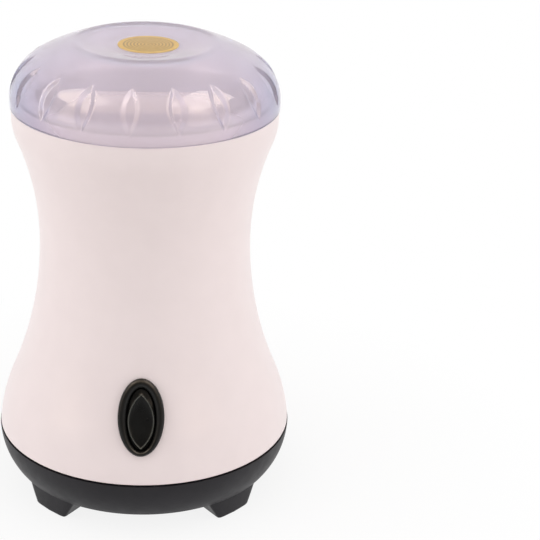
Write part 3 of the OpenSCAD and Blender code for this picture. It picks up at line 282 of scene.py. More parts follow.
def linear(code):
    """Scene-linear colour of an sRGB hex code."""
    channels = np.array([int(code[i:i + 2], 16) for i in (1, 3, 5)]) / 255
    curve = np.where(channels <= 0.04045, channels / 12.92, ((channels + 0.055) / 1.055) ** 2.4)
    return (*curve.tolist(), 1.0)


def add(tree, kind, inputs=(), **settings):
    """One node with its settings, and with each input set to a value or linked to a socket."""
    made = tree.nodes.new("ShaderNode" + kind)
    for key, value in settings.items():
        setattr(made, key, value)
    for key, value in dict(inputs).items():
        if isinstance(value, bpy.types.NodeSocket):
            tree.links.new(value, made.inputs[key])
        else:
            made.inputs[key].default_value = value
    return made


def finish(name, **sockets):
    """New material with one surface shader, whose constants are set on its own sockets."""
    material = bpy.data.materials.new(name)
    material.use_nodes = True
    tree = material.node_tree
    shader = tree.nodes["Principled BSDF"]
    for key, value in sockets.items():
        shader.inputs[key.replace("_", " ").title().replace("Ior", "IOR")].default_value = value
    return material, tree, shader


def noise(tree, size, stretch=(1, 1, 1), detail=2.0, place=None):
    """Cloudy pattern from 0 to 1 with spots of a size in millimetres, drawn out by stretch."""
    place = place or add(tree, "TexCoord").outputs["Object"]
    scaled = add(tree, "VectorMath", {0: place, 1: [1 / (size * MM * s) for s in stretch]},
                 operation="MULTIPLY")
    return add(tree, "TexNoise", {"Vector": scaled.outputs[0], "Scale": 1.0,
                                  "Detail": detail}).outputs["Fac"]


def spread(tree, pattern, low, high):
    """A pattern brought from 0.3..0.7 to a range of values."""
    return add(tree, "MapRange", {"Value": pattern, "From Min": 0.3, "From Max": 0.7,
                                  "To Min": low, "To Max": high}).outputs["Result"]


def mottle(tree, shader, pattern, dark, light):
    """Base colour that follows a pattern between two hex codes."""
    mix = add(tree, "Mix", {FACTOR: spread(tree, pattern, 0.0, 1.0), COLOUR_A: linear(dark),
                            COLOUR_B: linear(light)}, data_type="RGBA")
    tree.links.new(mix.outputs[MIXED], shader.inputs["Base Color"])


def vary(tree, shader, socket, pattern, low, high):
    """A value of the shader that follows a pattern between two limits."""
    tree.links.new(spread(tree, pattern, low, high), shader.inputs[socket])


def relief(tree, shader, pattern, depth):
    """Bump of a depth in millimetres."""
    bump = add(tree, "Bump", {"Strength": 1.0, "Distance": depth * MM, "Height": pattern})
    tree.links.new(bump.outputs["Normal"], shader.inputs["Normal"])


def round_place(tree):
    """Object coordinates as (distance from the Z axis, 0, height), for what is turned."""
    place = add(tree, "TexCoord").outputs["Object"]
    flat = add(tree, "VectorMath", {0: place, 1: (1, 1, 0)}, operation="MULTIPLY")
    radius = add(tree, "VectorMath", {0: flat.outputs[0]}, operation="LENGTH")
    height = add(tree, "SeparateXYZ", {0: place})
    return add(tree, "CombineXYZ", {"X": radius.outputs["Value"],
                                    "Z": height.outputs["Z"]}).outputs[0]


def plastic(name, dark, light, grain, depth, roughness, **sockets):
    """Moulded plastic: the mould's grain as bump, with a slight drift of colour and gloss."""
    material, tree, shader = finish(name, **sockets)
    mottle(tree, shader, noise(tree, 9.0), dark, light)
    vary(tree, shader, "Roughness", noise(tree, 4.0, detail=4.0), *roughness)
    relief(tree, shader, noise(tree, grain, detail=3.0), depth)
    return material


def painted_highlight(material, attribute, light):
    """The material with a painted highlight: its colour lightened where an attribute rises towards
    1.
    """
    tree = material.node_tree
    shader = tree.nodes["Principled BSDF"]
    share = add(tree, "Attribute", attribute_name=attribute).outputs["Fac"]
    colour = shader.inputs["Base Color"].links[0].from_socket
    # Painted highlight: the colour goes towards the light one as the attribute rises
    mix = add(tree, "Mix", {FACTOR: share, COLOUR_A: colour, COLOUR_B: linear(light)},
              data_type="RGBA")
    tree.links.new(mix.outputs[MIXED], shader.inputs["Base Color"])
    return material


def metal(name, dark, light, roughness, stretch, size, depth, turned_lines=False):
    """Bare metal with the fine lines that its last tool left, drawn coarse enough to show."""
    material, tree, shader = finish(name, metallic=1.0)
    place = round_place(tree) if turned_lines else None
    lines = noise(tree, size, stretch, 3.0, place)
    mottle(tree, shader, lines, dark, light)
    vary(tree, shader, "Roughness", noise(tree, size * 3, stretch, 2.0, place), *roughness)
    relief(tree, shader, lines, depth)
    if turned_lines:
        shader.inputs["Anisotropic"].default_value = 0.5
        tree.links.new(add(tree, "Tangent", direction_type="RADIAL", axis="Z").outputs[0],
                       shader.inputs["Tangent"])
    return material


def clear_san(name):
    """Clear SAN with a violet haze: glossy, a little uneven from the mould, and bluer where the
    shoulder is seen at a slant. The inner face of the crown is frosted. A cloud in the plastic
    scatters light, mostly on the crown and low on the skirt, and less where the face turns away."""
    shoulder_in, shoulder_out, frost, density = 40 * MM, 44.5 * MM, 0.13, 74.0
    material, tree, shader = finish(name, transmission_weight=1.0, ior=1.5)
    place = add(tree, "SeparateXYZ", {0: round_place(tree)}).outputs
    facing = add(tree, "LayerWeight", {"Blend": 0.5}).outputs["Facing"]
    outside = add(tree, "MapRange", {"Value": place["X"], "From Min": shoulder_in,
                                     "From Max": shoulder_out}).outputs["Result"]
    slanting = add(tree, "MapRange", {"Value": facing, "From Min": 0.28,
                                      "From Max": 0.6}).outputs["Result"]
    deep = add(tree, "Math", {0: outside, 1: slanting}, operation="MULTIPLY")
    plain = add(tree, "Mix", {FACTOR: noise(tree, 30.0), COLOUR_A: linear("#f6f0f5"),
                              COLOUR_B: linear("#fcf7fa")}, data_type="RGBA")
    tint = add(tree, "Mix", {FACTOR: deep.outputs[0], COLOUR_A: plain.outputs[MIXED],
                             COLOUR_B: linear("#d3dcec")}, data_type="RGBA")
    tree.links.new(tint.outputs[MIXED], shader.inputs["Base Color"])

    core = add(tree, "Attribute", attribute_name="core_side").outputs["Fac"]
    frosted = add(tree, "Math", {0: core, 1: outside}, operation="SUBTRACT", use_clamp=True)
    gloss = spread(tree, noise(tree, 6.0, detail=4.0), 0.005, 0.02)
    dull = add(tree, "Math", {0: frosted.outputs[0], 1: frost, 2: gloss},
               operation="MULTIPLY_ADD")
    tree.links.new(dull.outputs[0], shader.inputs["Roughness"])
    relief(tree, shader, noise(tree, 14.0, detail=1.0), 0.006)

    crown = add(tree, "MapRange", {"Value": place["X"], "From Min": 34 * MM, "From Max": 44 * MM,
                                   "To Min": 0.28, "To Max": 0.1},
                interpolation_type="SMOOTHSTEP").outputs["Result"]
    skirt = add(tree, "MapRange", {"Value": place["Z"], "From Min": (RIM_Z + 5) * MM,
                                   "From Max": (RIM_Z + 9) * MM, "To Min": 0.5, "To Max": 0.32},
                interpolation_type="SMOOTHSTEP").outputs["Result"]
    front = add(tree, "MapRange", {"Value": facing, "From Min": 0.12, "From Max": 0.5,
                                   "To Min": 1.0, "To Max": 0.15},
                interpolation_type="SMOOTHSTEP").outputs["Result"]
    low = add(tree, "Math", {0: skirt, 1: front}, operation="MULTIPLY").outputs[0]
    haze = add(tree, "Math", {0: crown, 1: low}, operation="MAXIMUM").outputs[0]
    cloud = add(tree, "BsdfDiffuse", {"Color": linear("#f0e0e3")})
    hazy = add(tree, "MixShader", {0: haze, 1: shader.outputs[0], 2: cloud.outputs[0]})

    # Shadow and diffuse rays pass straight through, so that the lid doesn't darken what it covers
    path = add(tree, "LightPath").outputs
    passing = add(tree, "Math", {0: path["Is Shadow Ray"], 1: path["Is Diffuse Ray"]},
                  operation="MAXIMUM").outputs[0]
    clear = add(tree, "BsdfTransparent", {"Color": linear("#f8f3f6")})
    mix = add(tree, "MixShader", {0: passing, 1: hazy.outputs[0], 2: clear.outputs[0]})
    out = tree.nodes["Material Output"]
    tree.links.new(mix.outputs[0], out.inputs["Surface"])
    absorb = add(tree, "VolumeAbsorption", {"Color": linear("#aac0e6"), "Density": density})
    tree.links.new(absorb.outputs[0], out.inputs["Volume"])
    return material


def printed_foil(name, centre):
    """Printed golden sticker: a plain bright border and fine printed rings inside it."""
    border, blur, pitch = 1.5, 0.2, 1.15
    material, tree, shader = finish(name, roughness=0.45)
    place = add(tree, "TexCoord").outputs["Object"]
    off = add(tree, "VectorMath", {0: place, 1: [c * MM for c in centre]}, operation="SUBTRACT")
    flat = add(tree, "VectorMath", {0: off.outputs[0], 1: (1, 1, 0)}, operation="MULTIPLY")
    radius = add(tree, "VectorMath", {0: flat.outputs[0]}, operation="LENGTH").outputs["Value"]
    wave = add(tree, "Math", {0: radius, 1: 2 * math.pi / (pitch * MM)}, operation="MULTIPLY")
    rings = add(tree, "Math", {0: wave.outputs[0]}, operation="SINE").outputs[0]
    ink = add(tree, "MapRange", {"Value": rings, "From Min": -0.2, "From Max": 0.5,
                                 "To Min": 0.15, "To Max": 0.85}).outputs["Result"]
    inside = add(tree, "MapRange", {"Value": radius, "From Min": (STICKER_R - border) * MM,
                                    "From Max": (STICKER_R - border - blur) * MM}).outputs["Result"]
    share = add(tree, "Math", {0: ink, 1: inside}, operation="MULTIPLY")
    paper = add(tree, "Mix", {FACTOR: spread(tree, noise(tree, 1.5), 0, 1),
                              COLOUR_A: linear("#d6ac5a"), COLOUR_B: linear("#e0bd6e")},
                data_type="RGBA")
    printed = add(tree, "Mix", {FACTOR: share.outputs[0], COLOUR_A: paper.outputs[MIXED],
                                COLOUR_B: linear("#97784f")}, data_type="RGBA")
    tree.links.new(printed.outputs[MIXED], shader.inputs["Base Color"])
    relief(tree, shader, noise(tree, 0.8), 0.02)
    return material


def striped(name, dark, light, pitch, roughness, metallic, across=(0, 0, 1)):
    """Stack or winding: stripes of a pitch in millimetres along one direction."""
    bump_share = 0.3
    material, tree, shader = finish(name, metallic=metallic)
    place = add(tree, "TexCoord").outputs["Object"]
    along = add(tree, "VectorMath", {0: place, 1: across}, operation="DOT_PRODUCT")
    wave = add(tree, "Math", {0: along.outputs["Value"], 1: 2 * math.pi / (pitch * MM)},
               operation="MULTIPLY")
    stripes = add(tree, "Math", {0: wave.outputs[0]}, operation="SINE").outputs[0]
    share = add(tree, "MapRange", {"Value": stripes, "From Min": -1.0, "From Max": 0.2,
                                   "To Min": 0.32, "To Max": 0.68}).outputs["Result"]
    mottle(tree, shader, share, dark, light)
    vary(tree, shader, "Roughness", noise(tree, 3.0), *roughness)
    relief(tree, shader, share, pitch * bump_share)
    return material


# High-gloss moulded ABS in a warm white: soft highlights, a trace of orange peel
WHITE_ABS = plastic("white_moulded_abs", "#eddfde", "#efe1e0", 3.0, 0.006, (0.3, 0.34), ior=1.5)
# Spark-eroded charcoal ABS: even fine grain that breaks the highlight up
CHARCOAL_ABS = plastic("charcoal_textured_abs", "#17151a", "#1c1a1f", 0.6, 0.03, (0.42, 0.5),
                       ior=1.5, specular_ior_level=0.28)
# Black ABS from a satin mould, with a painted highlight in grey along its ridge
BLACK_ABS = painted_highlight(plastic("black_satin_abs", "#0c0c0b", "#121211", 0.5, 0.012, (0.26, 0.34),
                           ior=1.46, specular_ior_level=0.25), "ridge", "#5c5c57")
# Black ABS with a fine mould grain, duller than the button
BEZEL_ABS = plastic("black_grained_abs", "#0b0b0a", "#10100f", 0.4, 0.015, (0.34, 0.42),
                    ior=1.46, specular_ior_level=0.32)
# Clear SAN with a blue-violet cast
CLEAR_SAN = clear_san("clear_tinted_san")

# Metals: the direction of the tool's lines is the one with the large stretch
EVEN, LENGTHWISE, ROLLED = (1, 1, 1), (24, 1, 1), (8, 1, 1)
# Spun stainless steel: bright, with fine rings round the axis
SPUN_STEEL = metal("spun_stainless_steel", "#d6d6da", "#eaeaed", (0.28, 0.4), EVEN, 0.5, 0.006,
                   turned_lines=True)
# Ground stainless steel: lines along the blade
GROUND_STEEL = metal("ground_stainless_steel", "#b9bbc0", "#dcdde1", (0.18, 0.3), LENGTHWISE,
                     0.5, 0.01)
# Bright zinc on steel screws
ZINC_STEEL = metal("zinc_plated_steel", "#b8bcc2", "#d7dade", (0.25, 0.4), EVEN, 1.2, 0.01)
# Drawn spring wire, dark and bright along its length
SPRING_STEEL = metal("drawn_spring_steel", "#7f838a", "#b3b7bd", (0.22, 0.38), EVEN, 0.8, 0.006)
# Drawn phosphor bronze wire: reddish gold
SPRING_BRONZE = metal("drawn_phosphor_bronze", "#a9793f", "#cf9f62", (0.22, 0.38), EVEN,
                      0.8, 0.006)
# Turned silver steel: fine rings round the shaft
TURNED_STEEL = metal("turned_silver_steel", "#a9abb0", "#cfd1d5", (0.15, 0.3), EVEN, 0.4, 0.006,
                     turned_lines=True)
# Die-cast aluminium: dull skin with fine pits
CAST_ALLOY = metal("die_cast_aluminium", "#8e9196", "#a9abae", (0.45, 0.6), EVEN, 0.8, 0.03)
# Rolled brass sheet: faint lines from the rollers
BRASS = metal("rolled_brass", "#b8924a", "#d8b56a", (0.25, 0.4), ROLLED, 0.5, 0.006)
# Sintered bronze, dark with oil in its pores
BRONZE = metal("sintered_bronze", "#7c5a36", "#a57b4e", (0.4, 0.6), EVEN, 0.4, 0.02)
# Commutator copper: rubbed bright by the brushes
RUBBED_COPPER = metal("rubbed_copper", "#a45a3a", "#d08a62", (0.2, 0.4), EVEN, 0.5, 0.01,
                      turned_lines=True)
# Varnished stack of 0.5 mm electrical sheets
LAMINATION = striped("varnished_lamination", "#3d4046", "#6a6e75", 0.5, (0.35, 0.5), 0.8)
# Enamelled copper wire, 0.4 mm thick
ENAMELLED_COPPER = striped("enamelled_copper_wire", "#6e3516", "#b8672f", 0.4, (0.25, 0.4), 0.6,
                           across=(0.5, 0.5, 0.7))

# Moulded silicone rubber: matt with a soft bloom
GREY_RUBBER = plastic("grey_silicone_rubber", "#5d5f63", "#6b6d71", 0.8, 0.02, (0.6, 0.75))
# Soft black PVC: matt, with a slight skin
BLACK_RUBBER = plastic("black_soft_pvc", "#1d1d1e", "#29292a", 0.8, 0.02, (0.5, 0.65))
# Glass-filled phenolic: near black, a little rough from the filler
PHENOLIC = plastic("black_phenolic", "#26262a", "#303035", 0.5, 0.03, (0.45, 0.6))
# Natural acetal: waxy cream
ACETAL = plastic("natural_acetal", "#d9cfae", "#e6ddc2", 1.5, 0.01, (0.35, 0.45))
# White nylon of the fan and of the crimp caps: faintly translucent to the eye, satin
WHITE_NYLON = plastic("white_nylon", "#e6e4de", "#f2f0ea", 1.0, 0.015, (0.4, 0.5))
# Brown PVC insulation: extruded, satin
BROWN_PVC = plastic("brown_pvc_insulation", "#5a3320", "#6b3e28", 1.0, 0.01, (0.4, 0.5))
# Red polyamide of the switch's plunger: satin
RED_NYLON = plastic("red_nylon", "#9b1f1c", "#b02b26", 1.0, 0.01, (0.35, 0.45))
# Pressed carbon: dull, speckled with graphite
CARBON = plastic("pressed_carbon", "#1b1b1c", "#3a3a3c", 0.3, 0.02, (0.55, 0.75))
# Golden printed foil
GOLD_FOIL = printed_foil("golden_printed_foil", (STICKER_X, 0, 0))

NODE_MATERIALS = {
    "bowl_gasket": GREY_RUBBER, "bowl_damper": GREY_RUBBER, "shaft_bushing": ACETAL,
    "bushing_nut": ZINC_STEEL, "shaft_seal": BLACK_RUBBER, "blade_spacer": BRASS,
    "blade_washer": ZINC_STEEL, "blade_nut": ZINC_STEEL, "motor_shaft": TURNED_STEEL,
    "armature_core": LAMINATION, "armature_winding": ENAMELLED_COPPER, "commutator": RUBBED_COPPER,
    "cooling_fan": WHITE_NYLON, "stator_core": LAMINATION, "field_coils": ENAMELLED_COPPER,
    "upper_bracket": CAST_ALLOY, "lower_bracket": PHENOLIC, "upper_bearing": TURNED_STEEL,
    "lower_bearing": BRONZE, "brush_holders": BRASS, "carbon_brushes": CARBON,
    "brush_springs": SPRING_BRONZE, "motor_bolts": ZINC_STEEL, "motor_mounts": BLACK_RUBBER,
    "mount_screws": ZINC_STEEL, "base_screws": ZINC_STEEL, "cord_gland": BLACK_RUBBER,
    "switch_body": PHENOLIC, "switch_plunger": RED_NYLON, "switch_terminals": BRASS,
    "switch_screws": ZINC_STEEL, "lead_wires": BROWN_PVC, "crimp_caps": WHITE_NYLON,
}


def dress(piece, material, body, slot, *nodes):
    """Gives a new piece its material and its body, and hides the CAD nodes it stands for.
    The slot is not used.
    """
    piece.data.materials.clear()
    piece.data.materials.append(material)
    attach(piece, body)
    if nodes:
        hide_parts(*nodes)
    return piece


# ---- Housing ----
def housing_outline(inset, steps=40):
    """Outline (r, height above the seam) of four arcs, each tangent to the next: the bulge at the
    seam, the two hollow arcs that meet at the waist, and the flare under the upright band."""
    low_in, low_rise = BULGE_R - WAIST_R, WAIST_H + BULGE_DROP
    low_sum = (low_in ** 2 + low_rise ** 2) / (2 * low_in)
    low_turn = math.degrees(math.atan2(low_rise, low_sum - low_in))
    high_in, high_rise = RIM_R - WAIST_R, FLARE_H - WAIST_H
    high_sum = (high_in ** 2 + high_rise ** 2) / (2 * high_in)
    high_turn = math.degrees(math.atan2(high_rise, high_sum - high_in))
    low_arc, high_arc = low_sum - BULGE_ARC, high_sum - FLARE_ARC
    start = math.degrees(math.asin(BULGE_DROP / (BULGE_ARC - inset)))
    return np.concatenate([
        arc((BULGE_R - BULGE_ARC, -BULGE_DROP), BULGE_ARC - inset, start, low_turn, steps)[:-1],
        arc((WAIST_R + low_arc, WAIST_H), low_arc + inset, 180 + low_turn, 180, steps)[:-1],
        arc((WAIST_R + high_arc, WAIST_H), high_arc + inset, 180, 180 - high_turn, steps)[:-1],
        arc((RIM_R - FLARE_ARC, FLARE_H), FLARE_ARC - inset, -high_turn, 0, steps // 2)])


def housing_r(height, inset=0.0):
    """Radius of the housing at a height above the seam."""
    r, h = housing_outline(inset, 80).T
    return np.interp(height, h, r)


def button_frame():
    """Local X across, Y up along the wall and Z out of it, with the origin on the wall."""
    out = -PRESS.normalized()
    across = Vector((1, 0, 0))
    pose = Matrix((across, out.cross(across), out)).transposed().to_4x4()
    pose.translation = Vector((0, -housing_r(BUTTON_H), SEAM_Z + BUTTON_H))
    return pose


BUTTON_FRAME = button_frame()


def ellipse(a, b, count=OVAL_STEPS):
    """Points (a cos t, b sin t) round an oval with half axes a and b."""
    turn = np.linspace(0, 2 * np.pi, count, endpoint=False)
    return np.stack([a * np.cos(turn), b * np.sin(turn)], 1)


def oblong(count, squareness):
    """Points round the curve |x|^n + |y|^n = 1, with n the squareness: the cosine and the sine of
    equal steps, each raised to 2 / n with its sign kept."""
    turn = np.linspace(0, 2 * np.pi, count, endpoint=False)
    return [np.sign(wave) * np.abs(wave) ** (2 / squareness)
            for wave in (np.cos(turn), np.sin(turn))]


def housing_wall():
    """Outer outline, rim, collar and inner outline turned round the axis, less the button's
    opening."""
    seam_edge, rim_edges = 0.35, [0, 0.6, 0.3, 0.5, 0.5, 0, 1.0]
    cut_in, cut_out = -9, 5
    outer, inner = housing_outline(0), housing_outline(WALL)[::-1]
    collar_in, collar_h = COLLAR_R - COLLAR_W, COLLAR_Z - SEAM_Z
    top = filleted([(RIM_R, FLARE_H), (RIM_R, HOUSING_H), (COLLAR_R, HOUSING_H),
                    (COLLAR_R, collar_h), (collar_in, collar_h),
                    (collar_in, HOUSING_H - TOP_T), (RIM_R - WALL, HOUSING_H - TOP_T)],
                   rim_edges, 6)
    seam = filleted([inner[-1], outer[0], outer[2]], [0, seam_edge, 0])[1:-1]
    profile = np.concatenate([seam, outer[2:], top[1:], inner]) + [0, SEAM_Z]
    wall = solid("housing_wall", turned(profile, 288))
    grow = BUTTON_GAP + SLEEVE_T + SEAT_GAP
    opening = prism(ellipse(BUTTON_W / 2 + grow, BUTTON_L / 2 + grow), cut_in, cut_out)
    return combined(wall, moved(opening, BUTTON_FRAME))


def housing_deck():
    """Turned deck under the bowl with the bosses of the motor's screws below it, and four pillars
    for the base's screws, each tied to the wall by a web."""
    motor_bore, base_bore, boss_sink = 1.55, 1.75, 0.5
    pillar_over, web_from, web_t = 3, 3.9, 2
    deck_top = corners("bowl_damper")[0][2]
    deck_low = deck_top - DECK_T
    pillar_top = corners("base_screws")[1][2] + pillar_over
    low_r, top_r, web_r = (housing_r(z - SEAM_Z, WALL / 2)
                           for z in (deck_low, deck_top, pillar_top))
    deck = solid("housing_deck", turned([(DECK_HOLE_R, deck_low), (low_r, deck_low),
                                         (top_r, deck_top), (DECK_HOLE_R, deck_top)], 192))

    def boss(bore, low, high, circle):
        """Tube between two heights, with its middle at a distance from the axis."""
        ring = turned([(bore, low), (BOSS_R, low), (BOSS_R, high), (bore, high)], 48)
        return moved(ring, Matrix.Translation((circle, 0, 0)))

    web_in, half = SCREW_CIRCLE + web_from, web_t / 2
    web = prism([(web_in, -half), (web_r, -half), (web_r, half), (web_in, half)],
                SEAM_Z + LIP_H + PAST, pillar_top)
    motor_boss = boss(motor_bore, corners("motor_mounts")[1][2], deck_low + boss_sink, MOUNT_CIRCLE)
    pillar = boss(base_bore, SEAM_Z, pillar_top, SCREW_CIRCLE)
    for shape in (around(motor_boss, MOUNTS), around(pillar, FEET, FEET_TURN),
                  around(web, FEET, FEET_TURN)):
        deck = combined(deck, shape, "UNION")
    return deck


dress(housing_wall(), WHITE_ABS, "casing", "housing_white", "housing")
dress(housing_deck(), WHITE_ABS, "casing", "housing_white", "housing")


# ---- Lid ----
def lid_shell():
    """Turned shell whose outer face is pushed in by the depth of the flutes. A flute is what a
    V-shaped tool leaves when it runs along an arc flatter than the shoulder: its depth is that of
    the arc less the rise of the tool's flank, so its rim is a pointed oval. The attribute
    core_side is 1 on the inner face and 0 on the outer one."""
    mouth_edge, pole_r, per_flute = 0.4, 0.4, 32
    edge_run, ceiling_run, ceiling_arc = 2, 3, 9.0
    depth_limit, ease, steepest = 1.2, 0.02, 40
    crown_turn_r = (LID_R - SHOULDER_ARC) / math.cos(math.radians(SHOULDER_TURN))
    crown_arc = SHOULDER_ARC + crown_turn_r
    crown_c = (0, LID_SKIRT - crown_turn_r * math.sin(math.radians(SHOULDER_TURN)))
    shoulder_c = np.array((LID_R - SHOULDER_ARC, LID_SKIRT))

    def face(inset, run, dish_arc, shoulder_steps, crown_steps):
        """Shoulder, crown and dish of the outer face, or of the inner one when inset by the wall.
        The crown's arc ends a run outside the dish, where the dish's rounded edge begins."""
        arc_r, dish_h = crown_arc - inset, RECESS_Z - RIM_Z - inset
        dish_r = RECESS_R * arc_r / crown_arc
        end = math.degrees(math.acos((dish_r + run) / arc_r))
        shoulder = arc(shoulder_c, SHOULDER_ARC - inset, 0, SHOULDER_TURN, shoulder_steps)
        crown = arc(crown_c, arc_r, SHOULDER_TURN, end, crown_steps)[1:]
        dish = filleted([crown[-1], (dish_r, crown_c[1] + math.sqrt(arc_r ** 2 - dish_r ** 2)),
                         (RECESS_R - RECESS_SLOPE, dish_h), (pole_r, dish_h)],
                        [0, dish_arc, RECESS_LOW_ARC, 0], 8)[1:]
        return np.concatenate([shoulder, crown, dish])

    mouth = filleted([(LID_R - LID_WALL, LID_SKIRT), (LID_R - LID_WALL, 0), (LID_R, 0),
                      (LID_R, LID_SKIRT)], [0, mouth_edge, mouth_edge, 0])[1:-1]
    profile = np.concatenate([mouth, face(0, edge_run, RECESS_TOP_ARC, 74, 22)])
    inner = face(LID_WALL, ceiling_run, ceiling_arc, 20, 6)

    # Columns crowd together at the middle of each flute
    u = np.linspace(-1, 1, per_flute, endpoint=False)
    across = 180 / FLUTES * (0.5 * u + 0.5 * u ** 3)
    turn = (FLUTE_TURN - 90 + across[None] + 360 / FLUTES * np.arange(FLUTES)[:, None]).ravel()
    turn, across = np.radians(turn), np.tile(np.radians(across), FLUTES)

    middle = math.radians(SHOULDER_TURN / 2 + FLUTE_RISE)
    bow = SHOULDER_ARC - math.sqrt(SHOULDER_ARC ** 2 - (FLUTE_LEN / 2) ** 2) - FLUTE_DEPTH
    tool_arc = ((FLUTE_LEN / 2) ** 2 + bow ** 2) / (2 * bow)
    tool_way = np.array((math.cos(middle), math.sin(middle)))
    away = profile - (shoulder_c + (SHOULDER_ARC - FLUTE_DEPTH - tool_arc) * tool_way)
    reach = np.linalg.norm(away, axis=1)
    flank = FLUTE_DEPTH / ((FLUTE_W - FLUTE_CORE) / 2)
    rise = flank * np.maximum(np.abs(profile[:, :1] * across[None]) - FLUTE_CORE / 2, 0)
    depth = np.minimum((reach - tool_arc)[:, None], depth_limit * FLUTE_DEPTH) - rise
    # The depth falls to nothing over a short ease instead of at a sharp rim
    push = ease * np.logaddexp(0, np.clip(depth / ease, -steepest, steepest))
    push[:len(mouth)] = 0
    r = profile[:, :1] - push * (away / reach[:, None])[:, :1]
    z = profile[:, 1:] - push * (away / reach[:, None])[:, 1:]
    outer_rows = np.stack([r * np.cos(turn), r * np.sin(turn), z], -1)
    inner_rows = np.stack([np.outer(inner[:, 0], np.cos(turn)), np.outer(inner[:, 0], np.sin(turn)),
                           np.repeat(inner[:, 1:], len(turn), 1)], -1)
    rows = np.concatenate([inner_rows[::-1], outer_rows]) + [0, 0, RIM_Z]
    shell = solid("lid_shell", skin(rows, poles=True), 60)

    # The inner rows come first, and the inner pole comes straight after all the rows
    core_side = np.zeros(len(shell.data.vertices), np.float32)
    core_side[:len(inner) * len(turn)] = 1
    core_side[len(rows) * len(turn)] = 1
    mark(shell, "core_side", core_side)
    return shell


dress(lid_shell(), CLEAR_SAN, "lid", "lid_clear", "lid")


def sticker():
    """Thin disc with a soft edge, a little off the axis."""
    thick, low_edge, top_edge, pole_r = 0.15, 0.03, 0.07, 0.1
    profile = filleted([(pole_r, 0), (STICKER_R, 0), (STICKER_R, thick), (pole_r, thick)],
                       [0, low_edge, top_edge, 0])
    disc = turned(profile + [0, RECESS_Z], 160, poles=True)
    return solid("foil_sticker", moved(disc, Matrix.Translation((STICKER_X, 0, 0))))


dress(sticker(), GOLD_FOIL, "lid", "sticker_yellow", "lid_sticker")


# ---- Base ----
def base_shell():
    """Turned pan with a curved rim and the lip that plugs into the housing, with four feet, screw
    bosses and the cord outlet, less the screw wells and the vent slots."""
    crease, pole_r, pan_wall, under_edge, rim_share, overlap = 32, 0.4, 3.2, 1.1, 0.86, 0.1
    # The first of these opens a fine groove under the seam
    inside_edges = [0.35, 0, 0.4, 0.4, 1.0, 1.5, 0]
    boss_pole_r, head_r, head_seat, hole_r = 0.2, 3.7, SEAM_Z - 10.5, 2.0
    outlet_wall, face_sink, seat_depth, bore_past = 0.9, 0.2, 1.5, 6

    base_in = BASE_R - RING_LOW_R
    rim_arc = (RING_H ** 2 + base_in ** 2) / (2 * base_in)
    slope = math.degrees(math.asin(RING_H / rim_arc))
    lip_low = housing_r(0, WALL) - LIP_GAP
    lip_top = housing_r(LIP_H, WALL) - LIP_GAP
    pan_in = RING_LOW_R - pan_wall
    rim = arc((BASE_R - rim_arc, RING_H), rim_arc, -slope * rim_share, 0, 24)
    low = filleted([(pole_r, 0), (RING_LOW_R, 0), rim[0]], [0, under_edge, 0], 8)[:-1]
    inside = filleted([(BASE_R, RING_H), (lip_low, RING_H), (lip_top, RING_H + LIP_H),
                       (lip_top - LIP_T, RING_H + LIP_H), (lip_low - LIP_T, RING_H),
                       (pan_in, BASE_FLOOR), (pole_r, BASE_FLOOR)], inside_edges)
    profile = np.concatenate([low, rim[:-1], inside]) + [0, FOOT_H]
    shell = solid("base_shell", turned(profile, 288, poles=True))

    boss_low, boss_high = FOOT_H + PAST, SEAM_Z - SEAT_GAP
    boss = turned([(boss_pole_r, boss_low), (BOSS_R, boss_low), (BOSS_R, boss_high),
                   (boss_pole_r, boss_high)], 48, poles=True)
    boss = moved(boss, Matrix.Translation((SCREW_CIRCLE, 0, 0)))
    outlet_face, outlet_r = BASE_R - face_sink, OUTLET_FLANGE_R + outlet_wall
    lie_back = (Matrix.Translation((0, 0, FOOT_H + RING_H / 2))
                @ Matrix.Rotation(math.radians(-90), 4, "X"))
    outlet = moved(prism(ellipse(outlet_r, outlet_r, 64), pan_in - PAST, outlet_face - overlap),
                   lie_back)
    added = joined([around(foot(), FEET, FEET_TURN), around(boss, FEET, FEET_TURN), outlet])
    shell = combined(shell, added, "UNION", crease)

    well = joined([prism(ellipse(r, r, 48), low_z, high_z) for r, low_z, high_z in
                   ((head_r, -PAST, head_seat), (hole_r, head_seat - overlap, SEAM_Z + PAST))])
    wells = around(moved(well, Matrix.Translation((SCREW_CIRCLE, 0, 0))), FEET, FEET_TURN)
    bore = joined([moved(prism(ellipse(r, r, 64), low_y, BASE_R + PAST), lie_back) for r, low_y in
                   ((OUTLET_R, pan_in - bore_past), (OUTLET_FLANGE_R, outlet_face - seat_depth))])
    for hole in (wells, bore, vent_slots()):
        shell = combined(shell, hole, crease=crease)
    return shell


